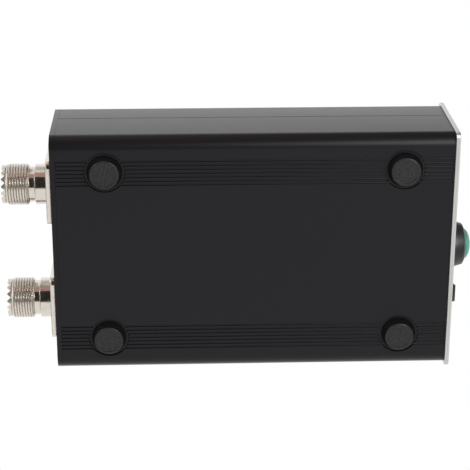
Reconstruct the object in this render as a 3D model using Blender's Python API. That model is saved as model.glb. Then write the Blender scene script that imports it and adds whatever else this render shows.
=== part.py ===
"""Automatic antenna tuner: a two-part extruded case with its end plates, sockets, controls and boards.

Metres, +Z up. The front panel faces -Y, the two coaxial sockets face +Y, and the feet stand on Z = 0.
The origin is under the middle of the whole length, from the button's cap to the sockets' tips.
"""
import math

import bmesh
import bpy
from mathutils import Vector

# Clearances and overruns shared by all pieces
SEAT_GAP = 0.0003
GASKET_GAP = 0.00015
CUT_OVERRUN = 0.002
MERGE_DISTANCE = 0.00001

# Case: two extruded shells that meet in a tongued seam on each side wall
CASE_WIDTH = 0.095
CASE_HEIGHT = 0.042
SHELL_LENGTH = 0.149
WALL = 0.002
CORNER_RADIUS = 0.004
SEAM_HEIGHT = 0.025
TONGUE_HEIGHT = 0.002
TONGUE_THICKNESS = 0.001
GROOVE_BAND_INSET = 0.0139
GROOVE_PITCH = 0.00153
GROOVE_WIDTH = 0.00085
GROOVE_DEPTH = 0.0004
GROOVES_IN_BAND = 7

# Screw channels in the corners of both shells
CHANNEL_INSET = 0.0047
CHANNEL_RADIUS = 0.0016
CHANNEL_WALL = 0.001
CHANNEL_SLIT = 0.0012

# Slots that hold the edges of the main board
SLOT_RIB_DEPTH = 0.002
SLOT_RIB_THICKNESS = 0.0012

# Rubber feet and the round seats milled for them
FOOT_PROUD = 0.003
FOOT_BASE_RADIUS = 0.00665
FOOT_TIP_RADIUS = 0.00545
FOOT_EDGE_RADIUS = 0.0006
FOOT_EDGE_STEPS = 3
FOOT_SIDE_INSET = 0.0137
FOOT_END_INSET = 0.01805
FOOT_SEAT_RADIUS = 0.0075
FOOT_SEAT_DEPTH = 0.0005

# End plates and the gasket behind the front one
FRONT_PANEL_THICKNESS = 0.0016
FRONT_PANEL_OVERHANG = 0.0005
FRONT_PANEL_CORNER_RADIUS = 0.002
FRONT_GASKET_THICKNESS = 0.0004
FRONT_GASKET_BAND = 0.0022
REAR_PLATE_THICKNESS = 0.002
REAR_PLATE_CORNER_RADIUS = 0.005

# Screws through the end plates
PLATE_SCREW_SHANK_RADIUS = 0.0013
PLATE_SCREW_LENGTH = 0.008
PLATE_SCREW_HEAD_RADIUS = 0.00275
PLATE_SCREW_HEAD_HEIGHT = 0.0014
PLATE_SCREW_DOME = 0.0004
PLATE_SCREW_SHOULDER_SHARE = 0.75
PLATE_HOLE_RADIUS = 0.0017

# Coaxial sockets on the rear plate; the gap shares divide the width that their flanges leave free
ANTENNA_GAP_SHARE = 0.278
TRANSMITTER_GAP_SHARE = 0.505
FLANGE_SIDE = 0.0254
FLANGE_THICKNESS = 0.0022
FLANGE_CORNER_RADIUS = 0.0027
FLANGE_CORNER_STEPS = 4
FLANGE_SCREW_PITCH = 0.01826
COLLAR_RADIUS = 0.00785
COLLAR_LENGTH = 0.0046
NECK_RADIUS = 0.00685
NECK_LENGTH = 0.0026
THREAD_CREST_RADIUS = 0.00794
THREAD_ROOT_RADIUS = 0.00735
THREAD_PITCH = 0.00105
THREAD_CRESTS = 8
LEAD_IN_RADIUS = 0.0074
LEAD_IN_LENGTH = 0.0005
TOOTH_HEIGHT = 0.0015
TOOTH_COUNT = 16
SOCKET_BORE_RADIUS = 0.0061
HUB_RADIUS = 0.0072
HUB_LENGTH = 0.0058
INSULATOR_RECESS = 0.008
INSULATOR_TAIL = 0.001
CONTACT_RADIUS = 0.0027
CONTACT_BORE_RADIUS = 0.002
CONTACT_BORE_DEPTH = 0.012
CONTACT_RECESS = 0.002
CONTACT_TAIL = 0.0075
CUP_BORE_RADIUS = 0.0013
CUP_BORE_DEPTH = 0.0035
FLANGE_SCREW_SHANK_RADIUS = 0.0013
FLANGE_SCREW_HEAD_RADIUS = 0.0027
FLANGE_SCREW_HEAD_HEIGHT = 0.0014
FLANGE_SCREW_LENGTH = 0.0055

# Gaps before the window, the button and the switch, as shares of the width that they leave free
WINDOW_GAP_SHARE = 0.2453
BUTTON_GAP_SHARE = 0.1134
SWITCH_GAP_SHARE = 0.1319

# Push button in the front panel
BEZEL_BASE_RADIUS = 0.0094
BEZEL_WAIST_RADIUS = 0.009
BEZEL_SHOULDER_RADIUS = 0.0082
BEZEL_RIM_RADIUS = 0.0066
BEZEL_WAIST_HEIGHT = 0.0031
BEZEL_SHOULDER_HEIGHT = 0.006
BEZEL_HEIGHT = 0.0068
BUTTON_BARREL_RADIUS = 0.0058
BUTTON_BARREL_DEPTH = 0.0165
CAP_RADIUS = 0.006
CAP_DOME_HEIGHT = 0.0026
CAP_SKIRT_DEPTH = 0.0035
CAP_STEM_RADIUS = 0.0016
CAP_STEM_LENGTH = 0.0115
CAP_TRAVEL = 0.0018
DOME_STEPS = 6
SPRING_CHAMBER_RADIUS = 0.0045
SPRING_CHAMBER_DEPTH = 0.0075
STEM_BORE_DEPTH = 0.0055
SPRING_RADIUS = 0.0032
SPRING_WIRE_RADIUS = 0.00025
SPRING_TURNS = 5
SPRING_POINTS_PER_TURN = 10
BUTTON_NUT_RADIUS = 0.008
BUTTON_NUT_HEIGHT = 0.0024
BUTTON_NUT_SIDES = 6
BLADE_WIDTH = 0.0028
BLADE_THICKNESS = 0.0005
BLADE_LENGTH = 0.006
BLADE_ROOT_DEPTH = 0.0008
BUTTON_BLADE_OFFSET = 0.003

# Rocker switch in the front panel
SWITCH_BEZEL_WIDTH = 0.0105
SWITCH_BEZEL_HEIGHT = 0.015
SWITCH_BEZEL_THICKNESS = 0.0016
SWITCH_BEZEL_CORNER_STEPS = 3
SWITCH_BODY_DEPTH = 0.012
SWITCH_BODY_WALL = 0.0006
SWITCH_FLOOR = 0.0015
ROCKER_WIDTH = 0.0069
ROCKER_END_RADIUS = 0.0058
ROCKER_END_HEIGHT = 0.0023
ROCKER_MIDDLE_HEIGHT = 0.0016
ROCKER_KEEL_HALF_WIDTH = 0.0022
ROCKER_KEEL_DEPTH = 0.0045
ROCKER_PIVOT_DEPTH = 0.0008
ROCKER_PIN_RADIUS = 0.00045
ROCKER_PIN_CLEARANCE = 0.00015
ROCKER_PIN_REACH = 0.0009
ROCKER_TILT_DEGREES = 10
ROCKER_ARC_STEPS = 5
SWITCH_BLADE_OFFSET = 0.0035

# Display behind the window of the front panel; its board stands between the main board and the screw channels
WINDOW_WIDTH = 0.0256
WINDOW_RIM = 0.002
WINDOW_RIM_THICKNESS = 0.001
WINDOW_GLASS_MARGIN = 0.0024
DISPLAY_GLASS_WIDTH = 0.0267
DISPLAY_GLASS_MARGIN = 0.0028
DISPLAY_GLASS_THICKNESS = 0.0015
DISPLAY_BOARD_WIDTH = 0.0273
DISPLAY_BOARD_THICKNESS = 0.0012
DISPLAY_HOLE_RADIUS = 0.001
DISPLAY_HOLE_INSET = 0.002
HEADER_PINS = 4
HEADER_PITCH = 0.00254
HEADER_PIN_SIDE = 0.00064
HEADER_PIN_HOLE_RADIUS = 0.0008

# Main board and what stands on it, at as many stations as fit before the coupler
MAIN_BOARD_THICKNESS = 0.0016
MAIN_BOARD_REAR_MARGIN = 0.0042
STATION_PITCH = 0.0122
FIRST_STATION_FROM_BOARD_FRONT = 0.0337
RELAY_LENGTH = 0.020
RELAY_WIDTH = 0.010
RELAY_HEIGHT = 0.0106
STRIP_HEIGHT = 0.0008
CAPACITOR_WIDTH = 0.006
CAPACITOR_THICKNESS = 0.0035
CAPACITOR_HEIGHT = 0.005
CONTROLLER_LENGTH = 0.018
CONTROLLER_WIDTH = 0.0075
CONTROLLER_HEIGHT = 0.0024
CONTROLLER_X = -0.010
CONTROLLER_FROM_BOARD_FRONT = 0.0205

# Gaps before the columns of inductors, relays and capacitors, as shares of the width that they leave free
INDUCTOR_GAP_SHARE = 0.1
INDUCTOR_RELAY_GAP_SHARE = 0.1
CAPACITOR_RELAY_GAP_SHARE = 0.12
CAPACITOR_GAP_SHARE = 0.5

# Inductors, placed at the first station and counted back from the last
AIR_COIL_STATION = 0
TOROID_STATIONS = (-3, -1)
AIR_COIL_RADIUS = 0.0035
AIR_COIL_WIRE_RADIUS = 0.0004
AIR_COIL_PITCH = 0.0013
AIR_COIL_TURNS = 5
AIR_COIL_POINTS_PER_TURN = 10
CORE_OUTER_RADIUS = 0.00875
CORE_INNER_RADIUS = 0.0047
CORE_THICKNESS = 0.0048
CORE_EDGE = 0.0006
CORE_STEPS = 24
WINDING_WIRE_RADIUS = 0.00035
WINDING_STAND_OFF = 0.001
WINDING_FIRST_TURNS = 8
WINDING_ADDED_TURNS = 3
WINDING_POINTS_PER_TURN = 8
WINDING_OPEN_DEGREES = 70
WINDING_SQUARENESS_SHARE = 0.5
COUPLER_LENGTH = 0.014
COUPLER_WIDTH = 0.0132
COUPLER_HEIGHT = 0.0075
COUPLER_BORE_RADIUS = 0.0019
COUPLER_BORE_PITCH = 0.0056
COUPLER_FROM_BOARD_REAR = 0.025

# Battery under the roof and its charger at the rear plate
BATTERY_LENGTH = 0.060
BATTERY_WIDTH = 0.036
BATTERY_THICKNESS = 0.007
BATTERY_EDGE = 0.002
BATTERY_EDGE_STEPS = 3
BATTERY_TAPE_THICKNESS = 0.001
BATTERY_TAPE_MARGIN = 0.004
CHARGER_WIDTH = 0.017
CHARGER_LENGTH = 0.026
CHARGER_THICKNESS = 0.001
CHARGE_SOCKET_WIDTH = 0.00894
CHARGE_SOCKET_HEIGHT = 0.00326
CHARGE_SOCKET_LENGTH = 0.0073
CHARGE_SOCKET_WALL = 0.0003
CHARGE_SOCKET_BACK = 0.0012
CHARGE_TONGUE_WIDTH = 0.0067
CHARGE_TONGUE_THICKNESS = 0.0007
CHARGE_TONGUE_RECESS = 0.0008
CHARGE_SOCKET_END_STEPS = 4

# Wires
SOCKET_LEAD_RADIUS = 0.001
SOCKET_LEAD_REACH = 0.007
HOOK_UP_WIRE_RADIUS = 0.0007
HOOK_UP_WIRE_REACH = 0.004
CHARGER_PAD_INSET = 0.003
LEAD_STEPS = 8
LEAD_SLACK_SHARE = 0.6

# How finely round shapes are drawn
CORNER_STEPS = 6
SMALL_ROUND_STEPS = 12
ROUND_STEPS = 20
BUTTON_STEPS = 24
SMOOTH_ANGLE_DEGREES = 35

# Stations along Y, from the cap's tip at the front to the sockets' tips at the rear
SEATED_GASKET = FRONT_GASKET_THICKNESS + 2 * GASKET_GAP
BARREL_LENGTH = (COLLAR_LENGTH + NECK_LENGTH + THREAD_CRESTS * THREAD_PITCH
                 + LEAD_IN_LENGTH + TOOTH_HEIGHT)
SOCKET_REACH = SEAT_GAP + FLANGE_THICKNESS + BARREL_LENGTH
CAP_REACH = SEAT_GAP + BEZEL_HEIGHT + CAP_DOME_HEIGHT
TOTAL_LENGTH = (CAP_REACH + FRONT_PANEL_THICKNESS + SEATED_GASKET + SHELL_LENGTH
                + SEAT_GAP + REAR_PLATE_THICKNESS + SOCKET_REACH)
PANEL_FRONT_Y = CAP_REACH - TOTAL_LENGTH / 2
PANEL_BACK_Y = PANEL_FRONT_Y + FRONT_PANEL_THICKNESS
SHELL_FRONT_Y = PANEL_BACK_Y + SEATED_GASKET
SHELL_REAR_Y = SHELL_FRONT_Y + SHELL_LENGTH
SHELL_MIDDLE_Y = (SHELL_FRONT_Y + SHELL_REAR_Y) / 2
REAR_PLATE_INNER_Y = SHELL_REAR_Y + SEAT_GAP
REAR_PLATE_OUTER_Y = REAR_PLATE_INNER_Y + REAR_PLATE_THICKNESS
FLANGE_BACK_Y = REAR_PLATE_OUTER_Y + SEAT_GAP
SOCKET_TIP_Y = FLANGE_BACK_Y + FLANGE_THICKNESS + BARREL_LENGTH

# Heights
UNDERSIDE_Z = FOOT_PROUD
TOP_Z = UNDERSIDE_Z + CASE_HEIGHT
AXIS_Z = (UNDERSIDE_Z + TOP_Z) / 2
CHANNEL_BLOCK = CHANNEL_INSET + CHANNEL_RADIUS + CHANNEL_WALL
BOARD_BOTTOM_Z = UNDERSIDE_Z + CHANNEL_BLOCK + SEAT_GAP
BOARD_TOP_Z = BOARD_BOTTOM_Z + MAIN_BOARD_THICKNESS
PARTS_Z = BOARD_TOP_Z + SEAT_GAP
ROOF_Z = TOP_Z - WALL
BATTERY_TOP_Z = ROOF_Z - BATTERY_TAPE_THICKNESS - 2 * SEAT_GAP
BATTERY_MIDDLE_Z = BATTERY_TOP_Z - BATTERY_THICKNESS / 2

# Display and window: the window stands level with the middle of the display's glass
DISPLAY_BOARD_HEIGHT = TOP_Z - CHANNEL_BLOCK - SEAT_GAP - PARTS_Z
DISPLAY_GLASS_HEIGHT = DISPLAY_BOARD_HEIGHT - 2 * DISPLAY_GLASS_MARGIN
WINDOW_HEIGHT = DISPLAY_GLASS_HEIGHT - 2 * WINDOW_GLASS_MARGIN
WINDOW_Z = PARTS_Z + DISPLAY_BOARD_HEIGHT / 2

# Places across the front panel and the rear plate
WINDOW_RIM_WIDTH = WINDOW_WIDTH + 2 * WINDOW_RIM
FREE_FRONT_WIDTH = CASE_WIDTH - WINDOW_RIM_WIDTH - 2 * BEZEL_BASE_RADIUS - SWITCH_BEZEL_WIDTH
WINDOW_X = WINDOW_GAP_SHARE * FREE_FRONT_WIDTH + (WINDOW_RIM_WIDTH - CASE_WIDTH) / 2
BUTTON_X = WINDOW_X + WINDOW_RIM_WIDTH / 2 + BUTTON_GAP_SHARE * FREE_FRONT_WIDTH + BEZEL_BASE_RADIUS
SWITCH_X = BUTTON_X + BEZEL_BASE_RADIUS + SWITCH_GAP_SHARE * FREE_FRONT_WIDTH + SWITCH_BEZEL_WIDTH / 2
FREE_REAR_WIDTH = CASE_WIDTH - 2 * FLANGE_SIDE
ANTENNA_SOCKET_X = ANTENNA_GAP_SHARE * FREE_REAR_WIDTH + (FLANGE_SIDE - CASE_WIDTH) / 2
TRANSMITTER_SOCKET_X = ANTENNA_SOCKET_X + FLANGE_SIDE + TRANSMITTER_GAP_SHARE * FREE_REAR_WIDTH
CHARGER_X = (ANTENNA_SOCKET_X + TRANSMITTER_SOCKET_X) / 2
CHARGE_SOCKET_Z = PARTS_Z + CHARGER_THICKNESS + SEAT_GAP + CHARGE_SOCKET_HEIGHT / 2

# Places on the main board
BOARD_WIDTH = CASE_WIDTH - 2 * (WALL + SEAT_GAP)
BOARD_FRONT_Y = SHELL_FRONT_Y + SEAT_GAP
BOARD_REAR_Y = SHELL_REAR_Y - MAIN_BOARD_REAR_MARGIN
WINDING_REACH = CORE_OUTER_RADIUS + WINDING_STAND_OFF + WINDING_WIRE_RADIUS
FREE_BOARD_WIDTH = BOARD_WIDTH - 2 * WINDING_REACH - 2 * RELAY_LENGTH - CAPACITOR_WIDTH
INDUCTOR_X = INDUCTOR_GAP_SHARE * FREE_BOARD_WIDTH + WINDING_REACH - BOARD_WIDTH / 2
INDUCTOR_RELAY_X = INDUCTOR_X + WINDING_REACH + INDUCTOR_RELAY_GAP_SHARE * FREE_BOARD_WIDTH + RELAY_LENGTH / 2
CAPACITOR_RELAY_X = INDUCTOR_RELAY_X + RELAY_LENGTH + CAPACITOR_RELAY_GAP_SHARE * FREE_BOARD_WIDTH
CAPACITOR_X = (CAPACITOR_RELAY_X + RELAY_LENGTH / 2 + CAPACITOR_GAP_SHARE * FREE_BOARD_WIDTH
               + CAPACITOR_WIDTH / 2)
COUPLER_Y = BOARD_REAR_Y - COUPLER_FROM_BOARD_REAR
FIRST_STATION_Y = BOARD_FRONT_Y + FIRST_STATION_FROM_BOARD_FRONT
STATIONS_LENGTH = COUPLER_Y - COUPLER_LENGTH / 2 - SEAT_GAP - RELAY_WIDTH / 2 - FIRST_STATION_Y
STATIONS_Y = [FIRST_STATION_Y + number * STATION_PITCH
              for number in range(1 + math.floor(STATIONS_LENGTH / STATION_PITCH))]

SOCKETS = {"antenna": ANTENNA_SOCKET_X, "transmitter": TRANSMITTER_SOCKET_X}
PLATE_SCREW_PLACES = [(side * (CASE_WIDTH / 2 - CHANNEL_INSET), AXIS_Z + level * (CASE_HEIGHT / 2 - CHANNEL_INSET))
                      for side in (-1, 1) for level in (-1, 1)]

TO_FRONT = (math.radians(90), 0, 0)
TO_REAR = (math.radians(-90), 0, 0)


def clear_scene():
    for thing in list(bpy.data.objects):
        bpy.data.objects.remove(thing, do_unlink=True)


def finish(name, color, roughness, metallic=0.0):
    """A Principled material with one colour."""
    material = bpy.data.materials.new(name)
    material.use_nodes = True
    shader = material.node_tree.nodes["Principled BSDF"]
    shader.inputs["Base Color"].default_value = (*color, 1)
    shader.inputs["Roughness"].default_value = roughness
    shader.inputs["Metallic"].default_value = metallic
    return material


def mesh_of(shape, name):
    """Turn a bmesh into a mesh with clean outward faces."""
    bmesh.ops.remove_doubles(shape, verts=shape.verts, dist=MERGE_DISTANCE)
    bmesh.ops.recalc_face_normals(shape, faces=shape.faces)
    mesh = bpy.data.meshes.new(name)
    shape.to_mesh(mesh)
    shape.free()
    mesh.shade_smooth()
    mesh.set_sharp_from_angle(angle=math.radians(SMOOTH_ANGLE_DEGREES))
    return mesh


def place(name, shape, material, at=(0, 0, 0), turn=(0, 0, 0)):
    """One named object for one sub-part."""
    part = bpy.data.objects.new(name, mesh_of(shape, name))
    part.data.materials.append(material)
    part.location = at
    part.rotation_euler = turn
    bpy.context.collection.objects.link(part)
    return part


def combine(part, shape, operation, at=(0, 0, 0), turn=(0, 0, 0)):
    """Cut a shape from a part, or join it to the part, with an exact Boolean."""
    tool = bpy.data.objects.new(part.name + "_tool", mesh_of(shape, part.name + "_tool"))
    tool.location = at
    tool.rotation_euler = turn
    tool.hide_render = True
    tool.display_type = 'WIRE'
    bpy.context.collection.objects.link(tool)
    boolean = part.modifiers.new(operation.title(), 'BOOLEAN')
    boolean.operation = operation
    boolean.solver = 'EXACT'
    boolean.object = tool


def cut(part, shape, at=(0, 0, 0), turn=(0, 0, 0)):
    combine(part, shape, 'DIFFERENCE', at, turn)


def join(part, shape, at=(0, 0, 0), turn=(0, 0, 0)):
    combine(part, shape, 'UNION', at, turn)


def slab(outline, reach):
    """A closed outline of 3-D points, extruded by the vector reach."""
    shape = bmesh.new()
    face = shape.faces.new([shape.verts.new(point) for point in outline])
    grown = bmesh.ops.extrude_face_region(shape, geom=[face])
    moved = [item for item in grown["geom"] if isinstance(item, bmesh.types.BMVert)]
    bmesh.ops.translate(shape, verts=moved, vec=reach)
    return shape


def along_y(outline, start, end):
    """An outline of (x, z) points, extruded from one Y station to another."""
    return slab([(x, start, z) for x, z in outline], (0, end - start, 0))


def block(low, high):
    """A box between two corners."""
    outline = [(low[0], low[2]), (high[0], low[2]), (high[0], high[2]), (low[0], high[2])]
    return along_y(outline, low[1], high[1])


def box_at(middle_x, middle_y, bottom_z, width, length, height):
    """A box on a level: centred in plan, standing on its bottom."""
    half = Vector((width / 2, length / 2, 0))
    base = Vector((middle_x, middle_y, bottom_z))
    return block(base - half, base + half + Vector((0, 0, height)))


def moved(shape, offset):
    bmesh.ops.translate(shape, verts=shape.verts, vec=offset)
    return shape


def turned(profile, steps, closed=False):
    """Spin a profile of (radius, height) points about Z."""
    shape = bmesh.new()
    line = [shape.verts.new((radius, 0, height)) for radius, height in profile]
    pairs = list(zip(line, line[1:]))
    if closed:
        pairs.append((line[-1], line[0]))
    edges = [shape.edges.new(pair) for pair in pairs]
    bmesh.ops.spin(shape, geom=line + edges, axis=(0, 0, 1), cent=(0, 0, 0),
                   angle=math.tau, steps=steps, use_merge=True)
    bmesh.ops.remove_doubles(shape, verts=shape.verts, dist=MERGE_DISTANCE)
    return shape


def rod(radius, bottom, top, steps=SMALL_ROUND_STEPS):
    """A round bar on Z between two heights."""
    return turned([(0, top), (radius, top), (radius, bottom), (0, bottom)], steps)


def arc(middle, radius, first, last, steps):
    """Points on an arc, from one angle in degrees to another."""
    angles = [math.radians(first + (last - first) * step / steps) for step in range(steps + 1)]
    return [(middle[0] + radius * math.cos(angle), middle[1] + radius * math.sin(angle)) for angle in angles]


def rounded_rectangle(width, height, radius, middle=(0, 0), steps=CORNER_STEPS):
    """The outline of a rectangle with round corners."""
    across = width / 2 - radius
    up = height / 2 - radius
    outline = []
    for quarter, (side, level) in enumerate(((1, 1), (-1, 1), (-1, -1), (1, -1))):
        corner = (middle[0] + side * across, middle[1] + level * up)
        outline += arc(corner, radius, quarter * 90, quarter * 90 + 90, steps)
    return outline


def tube(name, route, radius, material, sides=1):
    """A round wire along a list of points, with filled ends."""
    curve = bpy.data.curves.new(name, 'CURVE')
    curve.dimensions = '3D'
    curve.bevel_depth = radius
    curve.bevel_resolution = sides
    curve.use_fill_caps = True
    spline = curve.splines.new('POLY')
    spline.points.add(len(route) - 1)
    for point, place_on_route in zip(spline.points, route):
        point.co = (*place_on_route, 1)
    wire = bpy.data.objects.new(name, curve)
    curve.materials.append(material)
    bpy.context.collection.objects.link(wire)
    return wire


def lead_route(start, start_pull, end, end_pull):
    """Points on a smooth curve that leaves start along one pull and arrives at end against the other."""
    start, end = Vector(start), Vector(end)
    first, last = start + Vector(start_pull), end + Vector(end_pull)
    route = []
    for step in range(LEAD_STEPS + 1):
        share = step / LEAD_STEPS
        rest = 1 - share
        route.append(start * rest ** 3 + first * (3 * rest ** 2 * share)
                     + last * (3 * rest * share ** 2) + end * share ** 3)
    return route


def grooves():
    """The groove band on the +X half of a broad face, as (x, depth) points."""
    points = []
    first = CASE_WIDTH / 2 - GROOVE_BAND_INSET - GROOVE_PITCH * (GROOVES_IN_BAND - 1) / 2
    for number in range(GROOVES_IN_BAND):
        middle = first + number * GROOVE_PITCH
        points += [(middle - GROOVE_WIDTH / 2, 0), (middle - GROOVE_WIDTH / 4, GROOVE_DEPTH),
                   (middle + GROOVE_WIDTH / 4, GROOVE_DEPTH), (middle + GROOVE_WIDTH / 2, 0)]
    return points


def channel_block():
    """The corner block with its slit screw channel, from its top inner corner down to the floor."""
    axis = (CASE_WIDTH / 2 - CHANNEL_INSET, CHANNEL_INSET)
    inner = CASE_WIDTH / 2 - CHANNEL_BLOCK
    half_slit = CHANNEL_SLIT / 2
    mouth = 180 - math.degrees(math.asin(half_slit / CHANNEL_RADIUS))
    bore = arc(axis, CHANNEL_RADIUS, mouth, -mouth, SMALL_ROUND_STEPS)
    return ([(CASE_WIDTH / 2 - WALL, CHANNEL_BLOCK), (inner, CHANNEL_BLOCK), (inner, axis[1] + half_slit)]
            + bore + [(inner, axis[1] - half_slit), (inner, WALL)])


def board_rib(rib_low):
    """The rib above the board's edge, met on the way down the inner wall."""
    wall = CASE_WIDTH / 2 - WALL
    tip = wall - SLOT_RIB_DEPTH
    return [(wall, rib_low + SLOT_RIB_THICKNESS), (tip, rib_low + SLOT_RIB_THICKNESS), (tip, rib_low), (wall, rib_low)]


def half_section(outer_end, ledge, inner_end, rib):
    """The +X half of a shell's section, as (x, depth from the broad face)."""
    corner = (CASE_WIDTH / 2 - CORNER_RADIUS, CORNER_RADIUS)
    side = CASE_WIDTH / 2
    points = grooves() + arc(corner, CORNER_RADIUS, -90, 0, CORNER_STEPS)
    points += [(side, outer_end), (side - ledge, outer_end), (side - ledge, inner_end), (side - WALL, inner_end)]
    return points + rib + channel_block()


def shell_section(half, face_z, inward):
    """Both halves of a shell's section, as (x, z)."""
    whole = half + [(-x, depth) for x, depth in reversed(half)]
    return [(x, face_z + inward * depth) for x, depth in whole]


def make_shells(black):
    lower_half = half_section(SEAM_HEIGHT, TONGUE_THICKNESS, SEAM_HEIGHT + TONGUE_HEIGHT,
                              board_rib(BOARD_TOP_Z + SEAT_GAP - UNDERSIDE_Z))
    lower = place("lower_shell", along_y(shell_section(lower_half, UNDERSIDE_Z, 1), SHELL_FRONT_Y, SHELL_REAR_Y),
                  black)
    for x, y in foot_places().values():
        seat = rod(FOOT_SEAT_RADIUS, UNDERSIDE_Z - CUT_OVERRUN, UNDERSIDE_Z + FOOT_SEAT_DEPTH, BUTTON_STEPS)
        cut(lower, moved(seat, (x, y, 0)))

    upper_depth = CASE_HEIGHT - SEAM_HEIGHT - SEAT_GAP
    upper_half = half_section(upper_depth, TONGUE_THICKNESS - SEAT_GAP, upper_depth - TONGUE_HEIGHT, [])
    place("upper_shell", along_y(shell_section(upper_half, TOP_Z, -1), SHELL_FRONT_Y, SHELL_REAR_Y), black)


def foot_places():
    """The middle of each foot, set in from the sides and ends of the lower shell."""
    x = CASE_WIDTH / 2 - FOOT_SIDE_INSET
    y = SHELL_LENGTH / 2 - FOOT_END_INSET
    return {f"{end}_{side}": (x_sign * x, SHELL_MIDDLE_Y + y_sign * y)
            for end, y_sign in (("front", -1), ("rear", 1))
            for side, x_sign in (("left", -1), ("right", 1))}


def make_feet(rubber):
    base = FOOT_SEAT_DEPTH - SEAT_GAP + FOOT_PROUD
    for name, (x, y) in foot_places().items():
        edge = arc((FOOT_TIP_RADIUS - FOOT_EDGE_RADIUS, FOOT_EDGE_RADIUS), FOOT_EDGE_RADIUS, 0, -90,
                   FOOT_EDGE_STEPS)
        profile = [(0, base), (FOOT_BASE_RADIUS, base), (FOOT_BASE_RADIUS, FOOT_PROUD)] + edge + [(0, 0)]
        place(f"foot_{name}", turned(profile, BUTTON_STEPS), rubber, (x, y, 0))


def make_front_panel(silver, black_rubber):
    width = CASE_WIDTH + 2 * FRONT_PANEL_OVERHANG
    height = CASE_HEIGHT + 2 * FRONT_PANEL_OVERHANG
    outline = rounded_rectangle(width, height, FRONT_PANEL_CORNER_RADIUS, (0, AXIS_Z))
    panel = place("front_panel", along_y(outline, PANEL_FRONT_Y, PANEL_BACK_Y), silver)
    through = (PANEL_FRONT_Y - CUT_OVERRUN, PANEL_BACK_Y + CUT_OVERRUN)
    window = rounded_rectangle(WINDOW_WIDTH + 2 * SEAT_GAP, WINDOW_HEIGHT + 2 * SEAT_GAP, WINDOW_RIM / 2,
                               (WINDOW_X, WINDOW_Z))
    cut(panel, along_y(window, *through))
    body_width, body_height = switch_body_size()
    switch = rounded_rectangle(body_width + 2 * SEAT_GAP, body_height + 2 * SEAT_GAP, SEAT_GAP, (SWITCH_X, AXIS_Z), 1)
    cut(panel, along_y(switch, *through))
    button = rod(BUTTON_BARREL_RADIUS + SEAT_GAP, -FRONT_PANEL_THICKNESS - CUT_OVERRUN, CUT_OVERRUN, BUTTON_STEPS)
    cut(panel, button, (BUTTON_X, PANEL_FRONT_Y, AXIS_Z), TO_FRONT)
    for x, z in PLATE_SCREW_PLACES:
        cut(panel, countersink(PLATE_SCREW_HEAD_RADIUS, PLATE_HOLE_RADIUS, PLATE_SCREW_HEAD_HEIGHT,
                               FRONT_PANEL_THICKNESS), (x, PANEL_FRONT_Y, z), TO_FRONT)

    inner = rounded_rectangle(width - 2 * FRONT_GASKET_BAND, height - 2 * FRONT_GASKET_BAND,
                              FRONT_PANEL_CORNER_RADIUS, (0, AXIS_Z))
    front, back = PANEL_BACK_Y + GASKET_GAP, SHELL_FRONT_Y - GASKET_GAP
    gasket = place("front_gasket", along_y(outline, front, back), black_rubber)
    cut(gasket, along_y(inner, front - CUT_OVERRUN, back + CUT_OVERRUN))


def countersink(head_radius, hole_radius, head_height, plate_thickness):
    """A cutter for a countersunk hole: its mouth at height 0, running down through the plate."""
    mouth = head_radius + SEAT_GAP
    return turned([(0, CUT_OVERRUN), (mouth, CUT_OVERRUN), (mouth, 0), (hole_radius, -head_height),
                   (hole_radius, -plate_thickness - CUT_OVERRUN), (0, -plate_thickness - CUT_OVERRUN)],
                  SMALL_ROUND_STEPS)


def countersunk_screw(head_radius, shank_radius, head_height, length, dome=0.0):
    """A countersunk screw with the rim of its head at height 0."""
    crown = [(0, dome), (head_radius / 2, dome * PLATE_SCREW_SHOULDER_SHARE)] if dome else [(0, 0)]
    return turned(crown + [(head_radius, 0), (shank_radius, -head_height), (shank_radius, -length), (0, -length)],
                  SMALL_ROUND_STEPS)


def make_rear_plate(black):
    outline = rounded_rectangle(CASE_WIDTH, CASE_HEIGHT, REAR_PLATE_CORNER_RADIUS, (0, AXIS_Z))
    plate = place("rear_plate", along_y(outline, REAR_PLATE_INNER_Y, REAR_PLATE_OUTER_Y), black)
    for x in SOCKETS.values():
        hub = rod(HUB_RADIUS + SEAT_GAP, -REAR_PLATE_THICKNESS - CUT_OVERRUN, CUT_OVERRUN, BUTTON_STEPS)
        cut(plate, hub, (x, REAR_PLATE_OUTER_Y, AXIS_Z), TO_REAR)
        for across, up in flange_screw_places():
            hole = rod(PLATE_HOLE_RADIUS, -REAR_PLATE_THICKNESS - CUT_OVERRUN, CUT_OVERRUN)
            cut(plate, hole, (x + across, REAR_PLATE_OUTER_Y, AXIS_Z + up), TO_REAR)
    for x, z in PLATE_SCREW_PLACES:
        cut(plate, countersink(PLATE_SCREW_HEAD_RADIUS, PLATE_HOLE_RADIUS, PLATE_SCREW_HEAD_HEIGHT,
                               REAR_PLATE_THICKNESS), (x, REAR_PLATE_OUTER_Y, z), TO_REAR)
    mouth = obround(CHARGE_SOCKET_WIDTH + 2 * SEAT_GAP, CHARGE_SOCKET_HEIGHT + 2 * SEAT_GAP)
    cut(plate, along_y(mouth, REAR_PLATE_INNER_Y - CUT_OVERRUN, REAR_PLATE_OUTER_Y + CUT_OVERRUN))


def make_plate_screws(black):
    for plate, y, turn in (("front_panel", PANEL_FRONT_Y, TO_FRONT), ("rear_plate", REAR_PLATE_OUTER_Y, TO_REAR)):
        for number, (x, z) in enumerate(PLATE_SCREW_PLACES, 1):
            screw = countersunk_screw(PLATE_SCREW_HEAD_RADIUS, PLATE_SCREW_SHANK_RADIUS, PLATE_SCREW_HEAD_HEIGHT,
                                      PLATE_SCREW_LENGTH, PLATE_SCREW_DOME)
            place(f"{plate}_screw_{number}", screw, black, (x, y, z), turn)


def flange_screw_places():
    half = FLANGE_SCREW_PITCH / 2
    return [(side * half, level * half) for side in (-1, 1) for level in (-1, 1)]


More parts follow.
